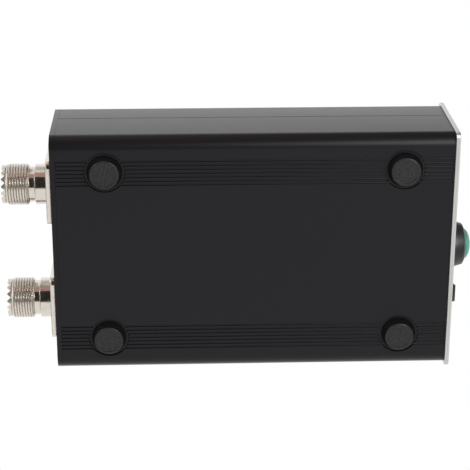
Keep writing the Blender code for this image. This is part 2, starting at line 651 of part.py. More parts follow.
def barrel_profile():
    """The socket's barrel, from the hub inside the case out to the toothed rim, as (radius, height)."""
    collar_end = FLANGE_THICKNESS + COLLAR_LENGTH
    neck_end = collar_end + NECK_LENGTH
    tip = FLANGE_THICKNESS + BARREL_LENGTH
    profile = [(SOCKET_BORE_RADIUS, -HUB_LENGTH), (HUB_RADIUS, -HUB_LENGTH), (HUB_RADIUS, FLANGE_THICKNESS / 2),
               (COLLAR_RADIUS, FLANGE_THICKNESS / 2), (COLLAR_RADIUS, collar_end), (NECK_RADIUS, collar_end),
               (NECK_RADIUS, neck_end)]
    for turn in range(THREAD_CRESTS):
        root = neck_end + turn * THREAD_PITCH
        profile += [(THREAD_ROOT_RADIUS, root), (THREAD_CREST_RADIUS, root + THREAD_PITCH / 2)]
    thread_end = neck_end + THREAD_CRESTS * THREAD_PITCH
    return profile + [(LEAD_IN_RADIUS, thread_end), (LEAD_IN_RADIUS, tip), (SOCKET_BORE_RADIUS, tip)]


def toothed_barrel():
    """The turned barrel with every other step of its rim lowered into teeth."""
    barrel = turned(barrel_profile(), 2 * TOOTH_COUNT, closed=True)
    tip = FLANGE_THICKNESS + BARREL_LENGTH
    for corner in barrel.verts:
        if corner.co.z > tip - LEAD_IN_LENGTH:
            step = round(math.atan2(corner.co.y, corner.co.x) / math.tau * 2 * TOOTH_COUNT)
            if step % 2:
                corner.co.z -= TOOTH_HEIGHT
    return barrel


def make_sockets(nickel, white_plastic, gold):
    outline = [(x, y, 0) for x, y in rounded_rectangle(FLANGE_SIDE, FLANGE_SIDE, FLANGE_CORNER_RADIUS,
                                                       steps=FLANGE_CORNER_STEPS)]
    tip = FLANGE_THICKNESS + BARREL_LENGTH
    face = tip - TOOTH_HEIGHT - INSULATOR_RECESS
    tail = -HUB_LENGTH - INSULATOR_TAIL
    contact_tip = tip - CONTACT_RECESS
    contact_end = tail - CONTACT_TAIL
    for name, x in SOCKETS.items():
        seat = (x, FLANGE_BACK_Y, AXIS_Z)
        socket = place(f"{name}_socket", slab(outline, (0, 0, FLANGE_THICKNESS)), nickel, seat, TO_REAR)
        bore = rod((SOCKET_BORE_RADIUS + HUB_RADIUS) / 2, -CUT_OVERRUN, FLANGE_THICKNESS + CUT_OVERRUN, ROUND_STEPS)
        cut(socket, bore, seat, TO_REAR)
        join(socket, toothed_barrel(), seat, TO_REAR)
        for across, up in flange_screw_places():
            hole = countersink(FLANGE_SCREW_HEAD_RADIUS, PLATE_HOLE_RADIUS, FLANGE_SCREW_HEAD_HEIGHT,
                               FLANGE_THICKNESS)
            cut(socket, hole, (x + across, FLANGE_BACK_Y + FLANGE_THICKNESS, AXIS_Z + up), TO_REAR)

        outer = SOCKET_BORE_RADIUS - SEAT_GAP
        inner = CONTACT_RADIUS + SEAT_GAP
        insulator = turned([(outer, face), (outer, tail), (inner, tail), (inner, face)], ROUND_STEPS, closed=True)
        place(f"{name}_socket_insulator", insulator, white_plastic, seat, TO_REAR)

        bore_floor = contact_tip - CONTACT_BORE_DEPTH
        cup_floor = contact_end + CUP_BORE_DEPTH
        contact = turned([(0, bore_floor), (CONTACT_BORE_RADIUS, bore_floor), (CONTACT_BORE_RADIUS, contact_tip),
                          (CONTACT_RADIUS, contact_tip), (CONTACT_RADIUS, contact_end),
                          (CUP_BORE_RADIUS, contact_end), (CUP_BORE_RADIUS, cup_floor), (0, cup_floor)], ROUND_STEPS)
        place(f"{name}_socket_contact", contact, gold, seat, TO_REAR)


def make_socket_screws(steel):
    """Four countersunk screws for each flange, in tapped holes of the rear plate."""
    for name, x in SOCKETS.items():
        for number, (across, up) in enumerate(flange_screw_places(), 1):
            screw = countersunk_screw(FLANGE_SCREW_HEAD_RADIUS, FLANGE_SCREW_SHANK_RADIUS,
                                      FLANGE_SCREW_HEAD_HEIGHT, FLANGE_SCREW_LENGTH)
            place(f"{name}_socket_screw_{number}", screw, steel,
                  (x + across, FLANGE_BACK_Y + FLANGE_THICKNESS, AXIS_Z + up), TO_REAR)


def make_tune_button(black, green, steel):
    seat = (BUTTON_X, PANEL_FRONT_Y, AXIS_Z)
    rim = SEAT_GAP + BEZEL_HEIGHT
    cap_bore = CAP_RADIUS + SEAT_GAP
    chamber_top = rim - CAP_SKIRT_DEPTH - CAP_TRAVEL - SEAT_GAP
    chamber_floor = chamber_top - SPRING_CHAMBER_DEPTH
    bore_floor = chamber_floor - STEM_BORE_DEPTH
    stem_bore = CAP_STEM_RADIUS + SEAT_GAP
    body = turned([
        (0, -BUTTON_BARREL_DEPTH), (BUTTON_BARREL_RADIUS, -BUTTON_BARREL_DEPTH), (BUTTON_BARREL_RADIUS, SEAT_GAP),
        (BEZEL_BASE_RADIUS, SEAT_GAP), (BEZEL_WAIST_RADIUS, SEAT_GAP + BEZEL_WAIST_HEIGHT),
        (BEZEL_SHOULDER_RADIUS, SEAT_GAP + BEZEL_SHOULDER_HEIGHT), (BEZEL_RIM_RADIUS, rim), (cap_bore, rim),
        (cap_bore, chamber_top), (SPRING_CHAMBER_RADIUS, chamber_top), (SPRING_CHAMBER_RADIUS, chamber_floor),
        (stem_bore, chamber_floor), (stem_bore, bore_floor), (0, bore_floor)], BUTTON_STEPS)
    button = place("tune_button_body", body, black, seat, TO_FRONT)
    for side in (-1, 1):
        join(button, blade(side * BUTTON_BLADE_OFFSET, -BUTTON_BARREL_DEPTH), seat, TO_FRONT)

    skirt_bottom = rim - CAP_SKIRT_DEPTH
    stem_bottom = skirt_bottom - CAP_STEM_LENGTH
    dome = [(CAP_RADIUS * math.sin(step * math.pi / 2 / DOME_STEPS),
             rim + CAP_DOME_HEIGHT * math.cos(step * math.pi / 2 / DOME_STEPS)) for step in range(DOME_STEPS + 1)]
    cap_profile = dome + [(CAP_RADIUS, skirt_bottom), (CAP_STEM_RADIUS, skirt_bottom),
                          (CAP_STEM_RADIUS, stem_bottom), (0, stem_bottom)]
    place("tune_button_cap", turned(cap_profile, BUTTON_STEPS), green, seat, TO_FRONT)

    low = chamber_floor + SEAT_GAP + SPRING_WIRE_RADIUS
    high = skirt_bottom - SEAT_GAP - SPRING_WIRE_RADIUS
    count = SPRING_TURNS * SPRING_POINTS_PER_TURN
    route = []
    for step in range(count + 1):
        angle = math.tau * SPRING_TURNS * step / count
        depth = low + (high - low) * step / count
        route.append((BUTTON_X + SPRING_RADIUS * math.cos(angle), PANEL_FRONT_Y - depth,
                      AXIS_Z + SPRING_RADIUS * math.sin(angle)))
    tube("tune_button_spring", route, SPRING_WIRE_RADIUS, steel, 0)

    nut_seat = (BUTTON_X, PANEL_BACK_Y + SEAT_GAP, AXIS_Z)
    nut = place("tune_button_nut", rod(BUTTON_NUT_RADIUS, -BUTTON_NUT_HEIGHT, 0, BUTTON_NUT_SIDES), steel,
                nut_seat, TO_FRONT)
    cut(nut, rod(BUTTON_BARREL_RADIUS + SEAT_GAP, -BUTTON_NUT_HEIGHT - CUT_OVERRUN, CUT_OVERRUN, BUTTON_STEPS),
        nut_seat, TO_FRONT)


def blade(offset, body_end):
    """A flat terminal blade moulded into the inner end of a body, pointing down Z."""
    return block((-BLADE_WIDTH / 2, offset - BLADE_THICKNESS / 2, body_end - BLADE_LENGTH),
                 (BLADE_WIDTH / 2, offset + BLADE_THICKNESS / 2, body_end + BLADE_ROOT_DEPTH))


def switch_body_size():
    """Outer width and height of the switch body behind the panel."""
    cavity_width = ROCKER_WIDTH + 2 * SEAT_GAP
    cavity_height = 2 * (ROCKER_END_RADIUS + SEAT_GAP)
    return cavity_width + 2 * SWITCH_BODY_WALL, cavity_height + 2 * SWITCH_BODY_WALL


def make_power_switch(black, gloss_black):
    face = SEAT_GAP + SWITCH_BEZEL_THICKNESS
    seat = (SWITCH_X, PANEL_FRONT_Y, AXIS_Z)
    body_width, body_height = switch_body_size()
    bezel = [(x, z, SEAT_GAP) for x, z in rounded_rectangle(SWITCH_BEZEL_WIDTH, SWITCH_BEZEL_HEIGHT,
                                                            SWITCH_BEZEL_THICKNESS,
                                                            steps=SWITCH_BEZEL_CORNER_STEPS)]
    frame = place("power_switch_frame", slab(bezel, (0, 0, SWITCH_BEZEL_THICKNESS)), black, seat, TO_FRONT)
    join(frame, block((-body_width / 2, -body_height / 2, -SWITCH_BODY_DEPTH),
                      (body_width / 2, body_height / 2, SEAT_GAP + SWITCH_BEZEL_THICKNESS / 2)), seat, TO_FRONT)
    cavity_x = body_width / 2 - SWITCH_BODY_WALL
    cavity_y = body_height / 2 - SWITCH_BODY_WALL
    cut(frame, block((-cavity_x, -cavity_y, SWITCH_FLOOR - SWITCH_BODY_DEPTH), (cavity_x, cavity_y, face + CUT_OVERRUN)),
        seat, TO_FRONT)
    pivot = (SWITCH_X, PANEL_FRONT_Y - face + ROCKER_PIVOT_DEPTH, AXIS_Z)
    sideways = (0, math.radians(90), 0)
    pin_reach = ROCKER_WIDTH / 2 + ROCKER_PIN_REACH
    cut(frame, rod(ROCKER_PIN_RADIUS + ROCKER_PIN_CLEARANCE, -pin_reach - SEAT_GAP, pin_reach + SEAT_GAP),
        pivot, sideways)

    for side in (-1, 1):
        join(frame, blade(side * SWITCH_BLADE_OFFSET, -SWITCH_BODY_DEPTH), seat, TO_FRONT)

    rocker = place("power_switch_rocker", rocker_shape(), gloss_black, pivot)
    join(rocker, rod(ROCKER_PIN_RADIUS, -pin_reach, pin_reach), pivot, sideways)


def rocker_shape():
    """The rocker about its pivot, upper end pressed: a shallow valley, round ends and a keel."""
    tilt = math.radians(ROCKER_TILT_DEGREES)
    end_half = math.sqrt(ROCKER_END_RADIUS ** 2 - ROCKER_END_HEIGHT ** 2)
    first = math.degrees(math.atan2(ROCKER_END_HEIGHT, end_half))
    right_end = arc((0, 0), ROCKER_END_RADIUS, first, 0, ROCKER_ARC_STEPS)
    keel = [(ROCKER_KEEL_HALF_WIDTH, -ROCKER_KEEL_DEPTH), (-ROCKER_KEEL_HALF_WIDTH, -ROCKER_KEEL_DEPTH)]
    left_end = [(-across, out) for across, out in reversed(right_end)]
    section = [(0, ROCKER_MIDDLE_HEIGHT)] + right_end + keel + left_end
    points = []
    for up, out in section:
        turned_up = up * math.cos(tilt) + out * math.sin(tilt)
        turned_out = out * math.cos(tilt) - up * math.sin(tilt)
        points.append((-ROCKER_WIDTH / 2, -turned_out, turned_up))
    return slab(points, (ROCKER_WIDTH, 0, 0))


def make_display(clear, blue_board, black):
    middle = (WINDOW_X, WINDOW_Z)
    rim_front = PANEL_BACK_Y + SEAT_GAP
    rim_back = rim_front + WINDOW_RIM_THICKNESS
    rim = rounded_rectangle(WINDOW_WIDTH + 2 * WINDOW_RIM, WINDOW_HEIGHT + 2 * WINDOW_RIM, WINDOW_RIM / 2, middle)
    pane = rounded_rectangle(WINDOW_WIDTH, WINDOW_HEIGHT, WINDOW_RIM / 2, middle)
    window = place("display_window", along_y(rim, rim_front, rim_back), clear)
    join(window, along_y(pane, PANEL_FRONT_Y, rim_front + WINDOW_RIM_THICKNESS / 2))

    glass_front = rim_back + SEAT_GAP
    board_front = glass_front + DISPLAY_GLASS_THICKNESS
    board_back = board_front + DISPLAY_BOARD_THICKNESS
    half_width, half_height = DISPLAY_BOARD_WIDTH / 2, DISPLAY_BOARD_HEIGHT / 2
    board = place("display_module", block((middle[0] - half_width, board_front, middle[1] - half_height),
                                          (middle[0] + half_width, board_back, middle[1] + half_height)), blue_board)
    glass_x, glass_z = DISPLAY_GLASS_WIDTH / 2, DISPLAY_GLASS_HEIGHT / 2
    join(board, block((middle[0] - glass_x, glass_front, middle[1] - glass_z),
                      (middle[0] + glass_x, board_front + DISPLAY_BOARD_THICKNESS / 2, middle[1] + glass_z)))
    drill = (-CUT_OVERRUN - DISPLAY_BOARD_THICKNESS, CUT_OVERRUN)
    for side in (-1, 1):
        for level in (-1, 1):
            cut(board, rod(DISPLAY_HOLE_RADIUS, *drill),
                (middle[0] + side * (half_width - DISPLAY_HOLE_INSET), board_front,
                 middle[1] + level * (half_height - DISPLAY_HOLE_INSET)), TO_FRONT)
    pin_z = PARTS_Z + HEADER_PITCH / 2
    pin_places = [middle[0] + HEADER_PITCH * (number - (HEADER_PINS - 1) / 2) for number in range(HEADER_PINS)]
    for x in pin_places:
        cut(board, rod(HEADER_PIN_HOLE_RADIUS, *drill), (x, board_front, pin_z), TO_FRONT)

    header_front = board_back + SEAT_GAP
    header = place("display_header", box_at(middle[0], header_front + HEADER_PITCH / 2, PARTS_Z,
                                            HEADER_PINS * HEADER_PITCH, HEADER_PITCH, HEADER_PITCH), black)
    half_pin = HEADER_PIN_SIDE / 2
    for x in pin_places:
        join(header, block((x - half_pin, board_front, pin_z - half_pin),
                           (x + half_pin, header_front + HEADER_PITCH / 2, pin_z + half_pin)))


def make_main_board(green_board, black, relay_black, amber):
    place("main_board", block((-BOARD_WIDTH / 2, BOARD_FRONT_Y, BOARD_BOTTOM_Z),
                              (BOARD_WIDTH / 2, BOARD_REAR_Y, BOARD_TOP_Z)), green_board)
    place("microcontroller", box_at(CONTROLLER_X, BOARD_FRONT_Y + CONTROLLER_FROM_BOARD_FRONT, PARTS_Z,
                                    CONTROLLER_LENGTH, CONTROLLER_WIDTH, CONTROLLER_HEIGHT), black)
    for name, x in (("inductor_relays", INDUCTOR_RELAY_X), ("capacitor_relays", CAPACITOR_RELAY_X)):
        place(name, row_of_cans(x, RELAY_LENGTH, RELAY_WIDTH, RELAY_HEIGHT), relay_black)
    place("capacitors", row_of_cans(CAPACITOR_X, CAPACITOR_WIDTH, CAPACITOR_THICKNESS, CAPACITOR_HEIGHT), amber)


def row_of_cans(middle_x, width, can_length, height):
    """One can at each station, standing on a common strip."""
    outline = [(STATIONS_Y[0] - can_length / 2, PARTS_Z), (STATIONS_Y[-1] + can_length / 2, PARTS_Z)]
    for y in reversed(STATIONS_Y):
        outline += [(y + can_length / 2, PARTS_Z + height), (y - can_length / 2, PARTS_Z + height)]
        if y != STATIONS_Y[0]:
            gap_y = y - STATION_PITCH + can_length / 2
            outline += [(y - can_length / 2, PARTS_Z + STRIP_HEIGHT), (gap_y, PARTS_Z + STRIP_HEIGHT)]
    return slab([(middle_x - width / 2, y, z) for y, z in outline], (width, 0, 0))


def make_inductors(ferrite, copper):
    make_air_coil(STATIONS_Y[AIR_COIL_STATION], copper)
    for number, station in enumerate(TOROID_STATIONS):
        make_toroid(number, STATIONS_Y[station], ferrite, copper)


def make_air_coil(y, copper):
    """A few open turns lying along X, just over the board."""
    count = AIR_COIL_TURNS * AIR_COIL_POINTS_PER_TURN
    length = AIR_COIL_TURNS * AIR_COIL_PITCH
    axis_z = PARTS_Z + AIR_COIL_RADIUS + AIR_COIL_WIRE_RADIUS
    route = []
    for step in range(count + 1):
        angle = math.tau * AIR_COIL_TURNS * step / count
        route.append((INDUCTOR_X - length / 2 + length * step / count, y + AIR_COIL_RADIUS * math.sin(angle),
                      axis_z - AIR_COIL_RADIUS * math.cos(angle)))
    tube("air_coil", route, AIR_COIL_WIRE_RADIUS, copper, 0)


def make_toroid(number, y, ferrite, copper):
    """A ring core standing on the board, with one wire wound round it and left open at the bottom."""
    half = CORE_THICKNESS / 2
    profile = [(CORE_INNER_RADIUS, -half + CORE_EDGE), (CORE_INNER_RADIUS + CORE_EDGE, -half),
               (CORE_OUTER_RADIUS - CORE_EDGE, -half), (CORE_OUTER_RADIUS, -half + CORE_EDGE),
               (CORE_OUTER_RADIUS, half - CORE_EDGE), (CORE_OUTER_RADIUS - CORE_EDGE, half),
               (CORE_INNER_RADIUS + CORE_EDGE, half), (CORE_INNER_RADIUS, half - CORE_EDGE)]
    axis_z = PARTS_Z + CORE_OUTER_RADIUS
    place(f"toroid_core_{number + 1}", turned(profile, CORE_STEPS, closed=True), ferrite,
          (INDUCTOR_X, y, axis_z), TO_FRONT)

    turns = WINDING_FIRST_TURNS + number * WINDING_ADDED_TURNS
    count = turns * WINDING_POINTS_PER_TURN
    ring = (CORE_OUTER_RADIUS + CORE_INNER_RADIUS) / 2
    radial = (CORE_OUTER_RADIUS - CORE_INNER_RADIUS) / 2 + WINDING_STAND_OFF
    axial = half + WINDING_STAND_OFF
    wound = 360 - WINDING_OPEN_DEGREES
    route = []
    for step in range(count + 1):
        around = math.radians(-90 + WINDING_OPEN_DEGREES / 2 + wound * step / count)
        section = math.tau * turns * step / count
        out = ring + radial * squared(math.cos(section))
        route.append((INDUCTOR_X + out * math.cos(around), y + axial * squared(math.sin(section)),
                      axis_z + out * math.sin(around)))
    tube(f"toroid_winding_{number + 1}", route, WINDING_WIRE_RADIUS, copper, 0)


def squared(value):
    """Push a sine or cosine outwards, so that a round path follows a square section."""
    return math.copysign(abs(value) ** WINDING_SQUARENESS_SHARE, value)


def make_coupler(ferrite):
    core = place("coupler_core", box_at(TRANSMITTER_SOCKET_X, COUPLER_Y, PARTS_Z, COUPLER_WIDTH, COUPLER_LENGTH,
                                        COUPLER_HEIGHT), ferrite)
    for side in (-1, 1):
        bore = rod(COUPLER_BORE_RADIUS, -COUPLER_LENGTH / 2 - CUT_OVERRUN, COUPLER_LENGTH / 2 + CUT_OVERRUN)
        cut(core, bore, (TRANSMITTER_SOCKET_X + side * COUPLER_BORE_PITCH / 2, COUPLER_Y,
                         PARTS_Z + COUPLER_HEIGHT / 2), TO_FRONT)


def obround(width, height):
    """The charge socket's outline, round at both ends."""
    return rounded_rectangle(width, height, height / 2 - MERGE_DISTANCE, (CHARGER_X, CHARGE_SOCKET_Z),
                             CHARGE_SOCKET_END_STEPS)


def make_charger(green_board, steel):
    middle_y = REAR_PLATE_INNER_Y - SEAT_GAP - CHARGER_LENGTH / 2
    place("charger_board", box_at(CHARGER_X, middle_y, PARTS_Z, CHARGER_WIDTH, CHARGER_LENGTH, CHARGER_THICKNESS),
          green_board)
    mouth = REAR_PLATE_OUTER_Y
    back = mouth - CHARGE_SOCKET_LENGTH
    outline = obround(CHARGE_SOCKET_WIDTH, CHARGE_SOCKET_HEIGHT)
    pocket = obround(CHARGE_SOCKET_WIDTH - 2 * CHARGE_SOCKET_WALL, CHARGE_SOCKET_HEIGHT - 2 * CHARGE_SOCKET_WALL)
    socket = place("charge_socket", along_y(outline, back, mouth), steel)
    cut(socket, along_y(pocket, back + CHARGE_SOCKET_BACK, mouth + CUT_OVERRUN))
    half_width, half_thickness = CHARGE_TONGUE_WIDTH / 2, CHARGE_TONGUE_THICKNESS / 2
    join(socket, block((CHARGER_X - half_width, back + CHARGE_SOCKET_BACK / 2, CHARGE_SOCKET_Z - half_thickness),
                       (CHARGER_X + half_width, mouth - CHARGE_TONGUE_RECESS, CHARGE_SOCKET_Z + half_thickness)))


def make_battery(silver_pouch, foam):
    tape = box_at(0, SHELL_MIDDLE_Y, BATTERY_TOP_Z + SEAT_GAP, BATTERY_WIDTH - 2 * BATTERY_TAPE_MARGIN,
                  BATTERY_LENGTH - 2 * BATTERY_TAPE_MARGIN, BATTERY_TAPE_THICKNESS)
    place("battery_tape", tape, foam)
    outline = rounded_rectangle(BATTERY_WIDTH, BATTERY_THICKNESS, BATTERY_EDGE, (0, BATTERY_MIDDLE_Z),
                                BATTERY_EDGE_STEPS)
    place("battery_pack", along_y(outline, SHELL_MIDDLE_Y - BATTERY_LENGTH / 2, SHELL_MIDDLE_Y + BATTERY_LENGTH / 2),
          silver_pouch)


def make_leads(copper, red, black):
    """Leads from the sockets, the controls and the battery to the boards; a two-core lead is one tube."""
    drop = AXIS_Z - BOARD_TOP_Z
    pull = drop * LEAD_SLACK_SHARE
    cup_floor = FLANGE_BACK_Y - HUB_LENGTH - INSULATOR_TAIL - CONTACT_TAIL + CUP_BORE_DEPTH - SEAT_GAP
    mouth = cup_floor - CUP_BORE_DEPTH
    for name, x in SOCKETS.items():
        route = [(x, cup_floor, AXIS_Z)] + lead_route((x, mouth, AXIS_Z), (0, -SOCKET_LEAD_REACH, 0),
                                                      (x, mouth - SOCKET_LEAD_REACH, PARTS_Z), (0, 0, pull))
        tube(f"{name}_lead", route, SOCKET_LEAD_RADIUS, copper)

    for name, x, depth, offset, wire in (
            ("tune_button_lead", BUTTON_X, BUTTON_BARREL_DEPTH, BUTTON_BLADE_OFFSET, red),
            ("power_switch_lead", SWITCH_X, SWITCH_BODY_DEPTH, SWITCH_BLADE_OFFSET, black)):
        end_y = PANEL_FRONT_Y + depth + BLADE_LENGTH + SEAT_GAP
        route = lead_route((x, end_y, AXIS_Z - offset), (0, HOOK_UP_WIRE_REACH, 0),
                           (x, end_y + HOOK_UP_WIRE_REACH, PARTS_Z), (0, 0, pull))
        tube(name, route, HOOK_UP_WIRE_RADIUS, wire)

    battery_end = SHELL_MIDDLE_Y + BATTERY_LENGTH / 2 + SEAT_GAP
    charger_top = PARTS_Z + CHARGER_THICKNESS + SEAT_GAP
    charger_front = REAR_PLATE_INNER_Y - SEAT_GAP - CHARGER_LENGTH
    route = lead_route((CHARGER_X, battery_end, BATTERY_MIDDLE_Z), (0, pull, 0),
                       (CHARGER_X, charger_front + CHARGER_PAD_INSET, charger_top), (0, 0, pull))
    tube("battery_lead", route, HOOK_UP_WIRE_RADIUS, red)


def build():
    clear_scene()
    black_anodised = finish("black_anodised", (0.022, 0.022, 0.024), 0.42, 0.3)
    brushed_silver = finish("brushed_silver", (0.62, 0.62, 0.60), 0.35, 1.0)
    rubber = finish("black_rubber", (0.03, 0.03, 0.032), 0.75)
    nickel = finish("nickel", (0.72, 0.69, 0.64), 0.18, 1.0)
    steel = finish("zinc_steel", (0.60, 0.60, 0.60), 0.3, 1.0)
    black_steel = finish("black_steel", (0.02, 0.02, 0.02), 0.35, 0.6)
    brass = finish("brass", (0.75, 0.58, 0.28), 0.3, 1.0)
    copper = finish("enamelled_copper", (0.62, 0.26, 0.12), 0.3, 1.0)
    black_plastic = finish("black_plastic", (0.018, 0.018, 0.019), 0.35)
    gloss_plastic = finish("gloss_black_plastic", (0.015, 0.015, 0.016), 0.2)
    green_plastic = finish("green_plastic", (0.07, 0.43, 0.26), 0.3)
    white_plastic = finish("white_insulator", (0.86, 0.86, 0.84), 0.4)
    clear = finish("clear_window", (0.05, 0.05, 0.06), 0.1)
    blue_board = finish("blue_board", (0.02, 0.06, 0.22), 0.4)
    green_board = finish("green_board", (0.02, 0.16, 0.06), 0.4)
    relay_plastic = finish("relay_plastic", (0.03, 0.03, 0.035), 0.4)
    amber = finish("amber_capacitor", (0.65, 0.35, 0.06), 0.4)
    ferrite = finish("ferrite", (0.12, 0.02, 0.015), 0.5)
    pouch = finish("silver_pouch", (0.65, 0.66, 0.68), 0.35, 0.6)
    foam = finish("foam_tape", (0.75, 0.75, 0.72), 0.8)
    red_wire = finish("red_wire", (0.5, 0.02, 0.02), 0.4)
    black_wire = finish("black_wire", (0.02, 0.02, 0.02), 0.4)

    make_shells(black_anodised)
    make_feet(rubber)
    make_front_panel(brushed_silver, rubber)
    make_rear_plate(black_anodised)
    make_plate_screws(black_steel)
    make_sockets(nickel, white_plastic, brass)
    make_socket_screws(steel)
    make_tune_button(black_plastic, green_plastic, steel)
    make_power_switch(black_plastic, gloss_plastic)
    make_display(clear, blue_board, black_plastic)
    make_main_board(green_board, black_plastic, relay_plastic, amber)
    make_inductors(ferrite, copper)
    make_coupler(ferrite)
    make_charger(green_board, steel)
    make_battery(pouch, foam)
    make_leads(copper, red_wire, black_wire)


build()
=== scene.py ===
"""Automatic antenna tuner: the looks of its pieces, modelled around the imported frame.

Metres, +Z up. The front panel faces -Y, the sockets face +Y, and the feet stand on Z = 0.
"""
import math

import bmesh
import bpy
from mathutils import Matrix, Vector


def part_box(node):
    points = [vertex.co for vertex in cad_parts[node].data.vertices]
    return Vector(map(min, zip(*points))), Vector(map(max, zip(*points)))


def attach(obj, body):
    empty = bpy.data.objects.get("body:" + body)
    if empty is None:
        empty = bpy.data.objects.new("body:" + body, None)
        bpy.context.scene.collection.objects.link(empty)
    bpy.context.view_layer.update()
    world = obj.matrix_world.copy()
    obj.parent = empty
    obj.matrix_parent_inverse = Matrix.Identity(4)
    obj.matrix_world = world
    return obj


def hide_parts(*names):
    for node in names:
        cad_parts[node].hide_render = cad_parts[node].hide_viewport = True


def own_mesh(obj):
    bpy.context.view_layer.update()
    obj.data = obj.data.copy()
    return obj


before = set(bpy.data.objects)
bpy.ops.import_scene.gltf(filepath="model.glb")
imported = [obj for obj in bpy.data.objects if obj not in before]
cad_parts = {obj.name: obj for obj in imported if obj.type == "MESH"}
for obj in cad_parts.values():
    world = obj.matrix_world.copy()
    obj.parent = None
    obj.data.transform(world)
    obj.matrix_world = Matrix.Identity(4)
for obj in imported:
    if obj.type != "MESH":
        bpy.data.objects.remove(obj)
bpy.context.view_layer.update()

bl_info = {
    "name": "Antenna tuner",
    "version": (1, 0, 0),
    "blender": (4, 5, 0),
    "location": "3D View > Sidebar > Tuner",
    "description": "Models the case, plates, sockets and controls of a small antenna tuner",
    "category": "Object",
}

# Turns that stand a shape's own +Z on the front or the rear of the case, or lay it along X, and the
# exchange of a shape's Y and Z
FRONTWARD = Matrix.Rotation(math.radians(90), 4, 'X')
REARWARD = Matrix.Rotation(math.radians(-90), 4, 'X')
ONTO_X = Matrix.Rotation(math.radians(90), 4, 'Y')
SWAP_Y_AND_Z = Matrix(((1, 0, 0, 0), (0, 0, 1, 0), (0, 1, 0, 0), (0, 0, 0, 1)))

# Degrees from one screw's recess to the next, so that they don't all point the same way
PLATE_SCREW_TWIST = 37
SOCKET_SCREW_TWIST = 53

# Distances that only keep the modelling clean
CUT_OVERRUN = 0.002
MERGE_DISTANCE = 0.000002
SEAT_GAP = 0.0003
TOUCH_GAP = 0.00002

# How finely round shapes are drawn
CORNER_STEPS = 10
EASE_STEPS = 4
HOLE_STEPS = 40
ROUND_STEPS = 96
GROOVE_STEPS = 8
DOME_STEPS = 18
ROCKER_END_STEPS = 12
TOOTH_STEPS = 8
SPRING_STEPS = 48
SPRING_WIRE_SIDES = 10
RECESS_STEPS = 16
HEXAGON_SIDES = 6
SMOOTH_ANGLE_DEGREES = 34

# Rows of points in one turn of each thread, and the shares of a pitch that flanks and fades take; the
# button's thread starts that far behind the panel's face, and its turns are counted a little short
SCREW_THREAD_ROWS = 6
BUTTON_THREAD_ROWS = 8
SOCKET_THREAD_ROWS = 16
THREAD_FLANK = 0.4
BUTTON_THREAD_START = 0.002
BUTTON_THREAD_SHORTFALL = 0.0022
SOCKET_THREAD_FLANK = 0.22
SOCKET_THREAD_FADE = 0.6

# Roundings of the small edges of the button and the switch
FINE_EASE = 0.0001
SMALL_EASE = 0.0002
ROCKER_END_EASE = 0.00025
CAP_EASE = 0.0003
SWITCH_EASE = 0.00035
KEEL_EASE = 0.0004
VALLEY_EASE = 0.0008


def low(node):
    """The lowest corner of a node's box."""
    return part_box(node)[0]


def high(node):
    """The highest corner of a node's box."""
    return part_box(node)[1]


def middle(node):
    """The middle of a node's box."""
    return (low(node) + high(node)) / 2


def length(name, description, default):
    """A size in metres."""
    return bpy.props.FloatProperty(name=name, description=description, default=default,
                                   unit='LENGTH', precision=5)


def amount(name, description, default, unit):
    """A number with another unit than metres."""
    return bpy.props.FloatProperty(name=name, description=description, default=default, unit=unit)


def count(name, description, default):
    """A number of like features."""
    return bpy.props.IntProperty(name=name, description=description, default=default, min=1)


def colour(name, description, default):
    """A linear colour."""
    return bpy.props.FloatVectorProperty(name=name, description=description, default=default,
                                         subtype='COLOR', size=3, min=0.0, max=1.0)


class CaseSizes(bpy.types.PropertyGroup):
    """Sizes of the two extruded shells and the feet."""
    wall: length("Wall", "Thickness of the case's walls", 0.002)
    corner: length("Corner", "Radius of the case's long edges", 0.005)
    seam: length("Seam height", "Height of the seam above the underside", 0.025)
    seam_gap: length("Seam gap", "Gap that shows between the two shells", 0.00012)
    seam_chamfer: length("Seam chamfer", "Chamfer on both sides of the seam", 0.00012)
    tongue_height: length("Tongue height", "How far the lower shell's tongue rises", 0.002)
    tongue: length("Tongue", "Thickness of the tongue's step", 0.001)
    groove_inset: length("Groove inset", "From the case's side to the middle of a groove band", 0.0139)
    groove_pitch: length("Groove pitch", "From one groove to the next", 0.00153)
    groove_width: length("Groove width", "Width of a groove at the face", 0.00085)
    groove_depth: length("Groove depth", "Depth of a groove", 0.0004)
    grooves: count("Grooves", "Grooves in each band", 7)
    channel_inset: length("Channel inset", "From the case's sides to the axis of a screw channel", 0.0047)
    channel_radius: length("Channel radius", "Radius of a screw channel", 0.0016)
    channel_wall: length("Channel wall", "Wall round a screw channel", 0.001)
    channel_slit: length("Channel slit", "Open slit along a screw channel", 0.0012)
    rib_depth: length("Rib depth", "How far the rib over the board's edge stands out", 0.002)
    rib: length("Rib", "Thickness of the rib over the board's edge", 0.0012)
    seat_radius: length("Foot seat radius", "Radius of the round seat milled for a foot", 0.0075)
    seat_depth: length("Foot seat depth", "Depth of the foot's seat", 0.0005)
    foot_base: length("Foot base", "Radius of a foot where it leaves the case", 0.00665)
    foot_tip: length("Foot tip", "Radius of a foot's flat tip", 0.00545)
    foot_edge: length("Foot edge", "Rounding of the foot's tip", 0.0004)


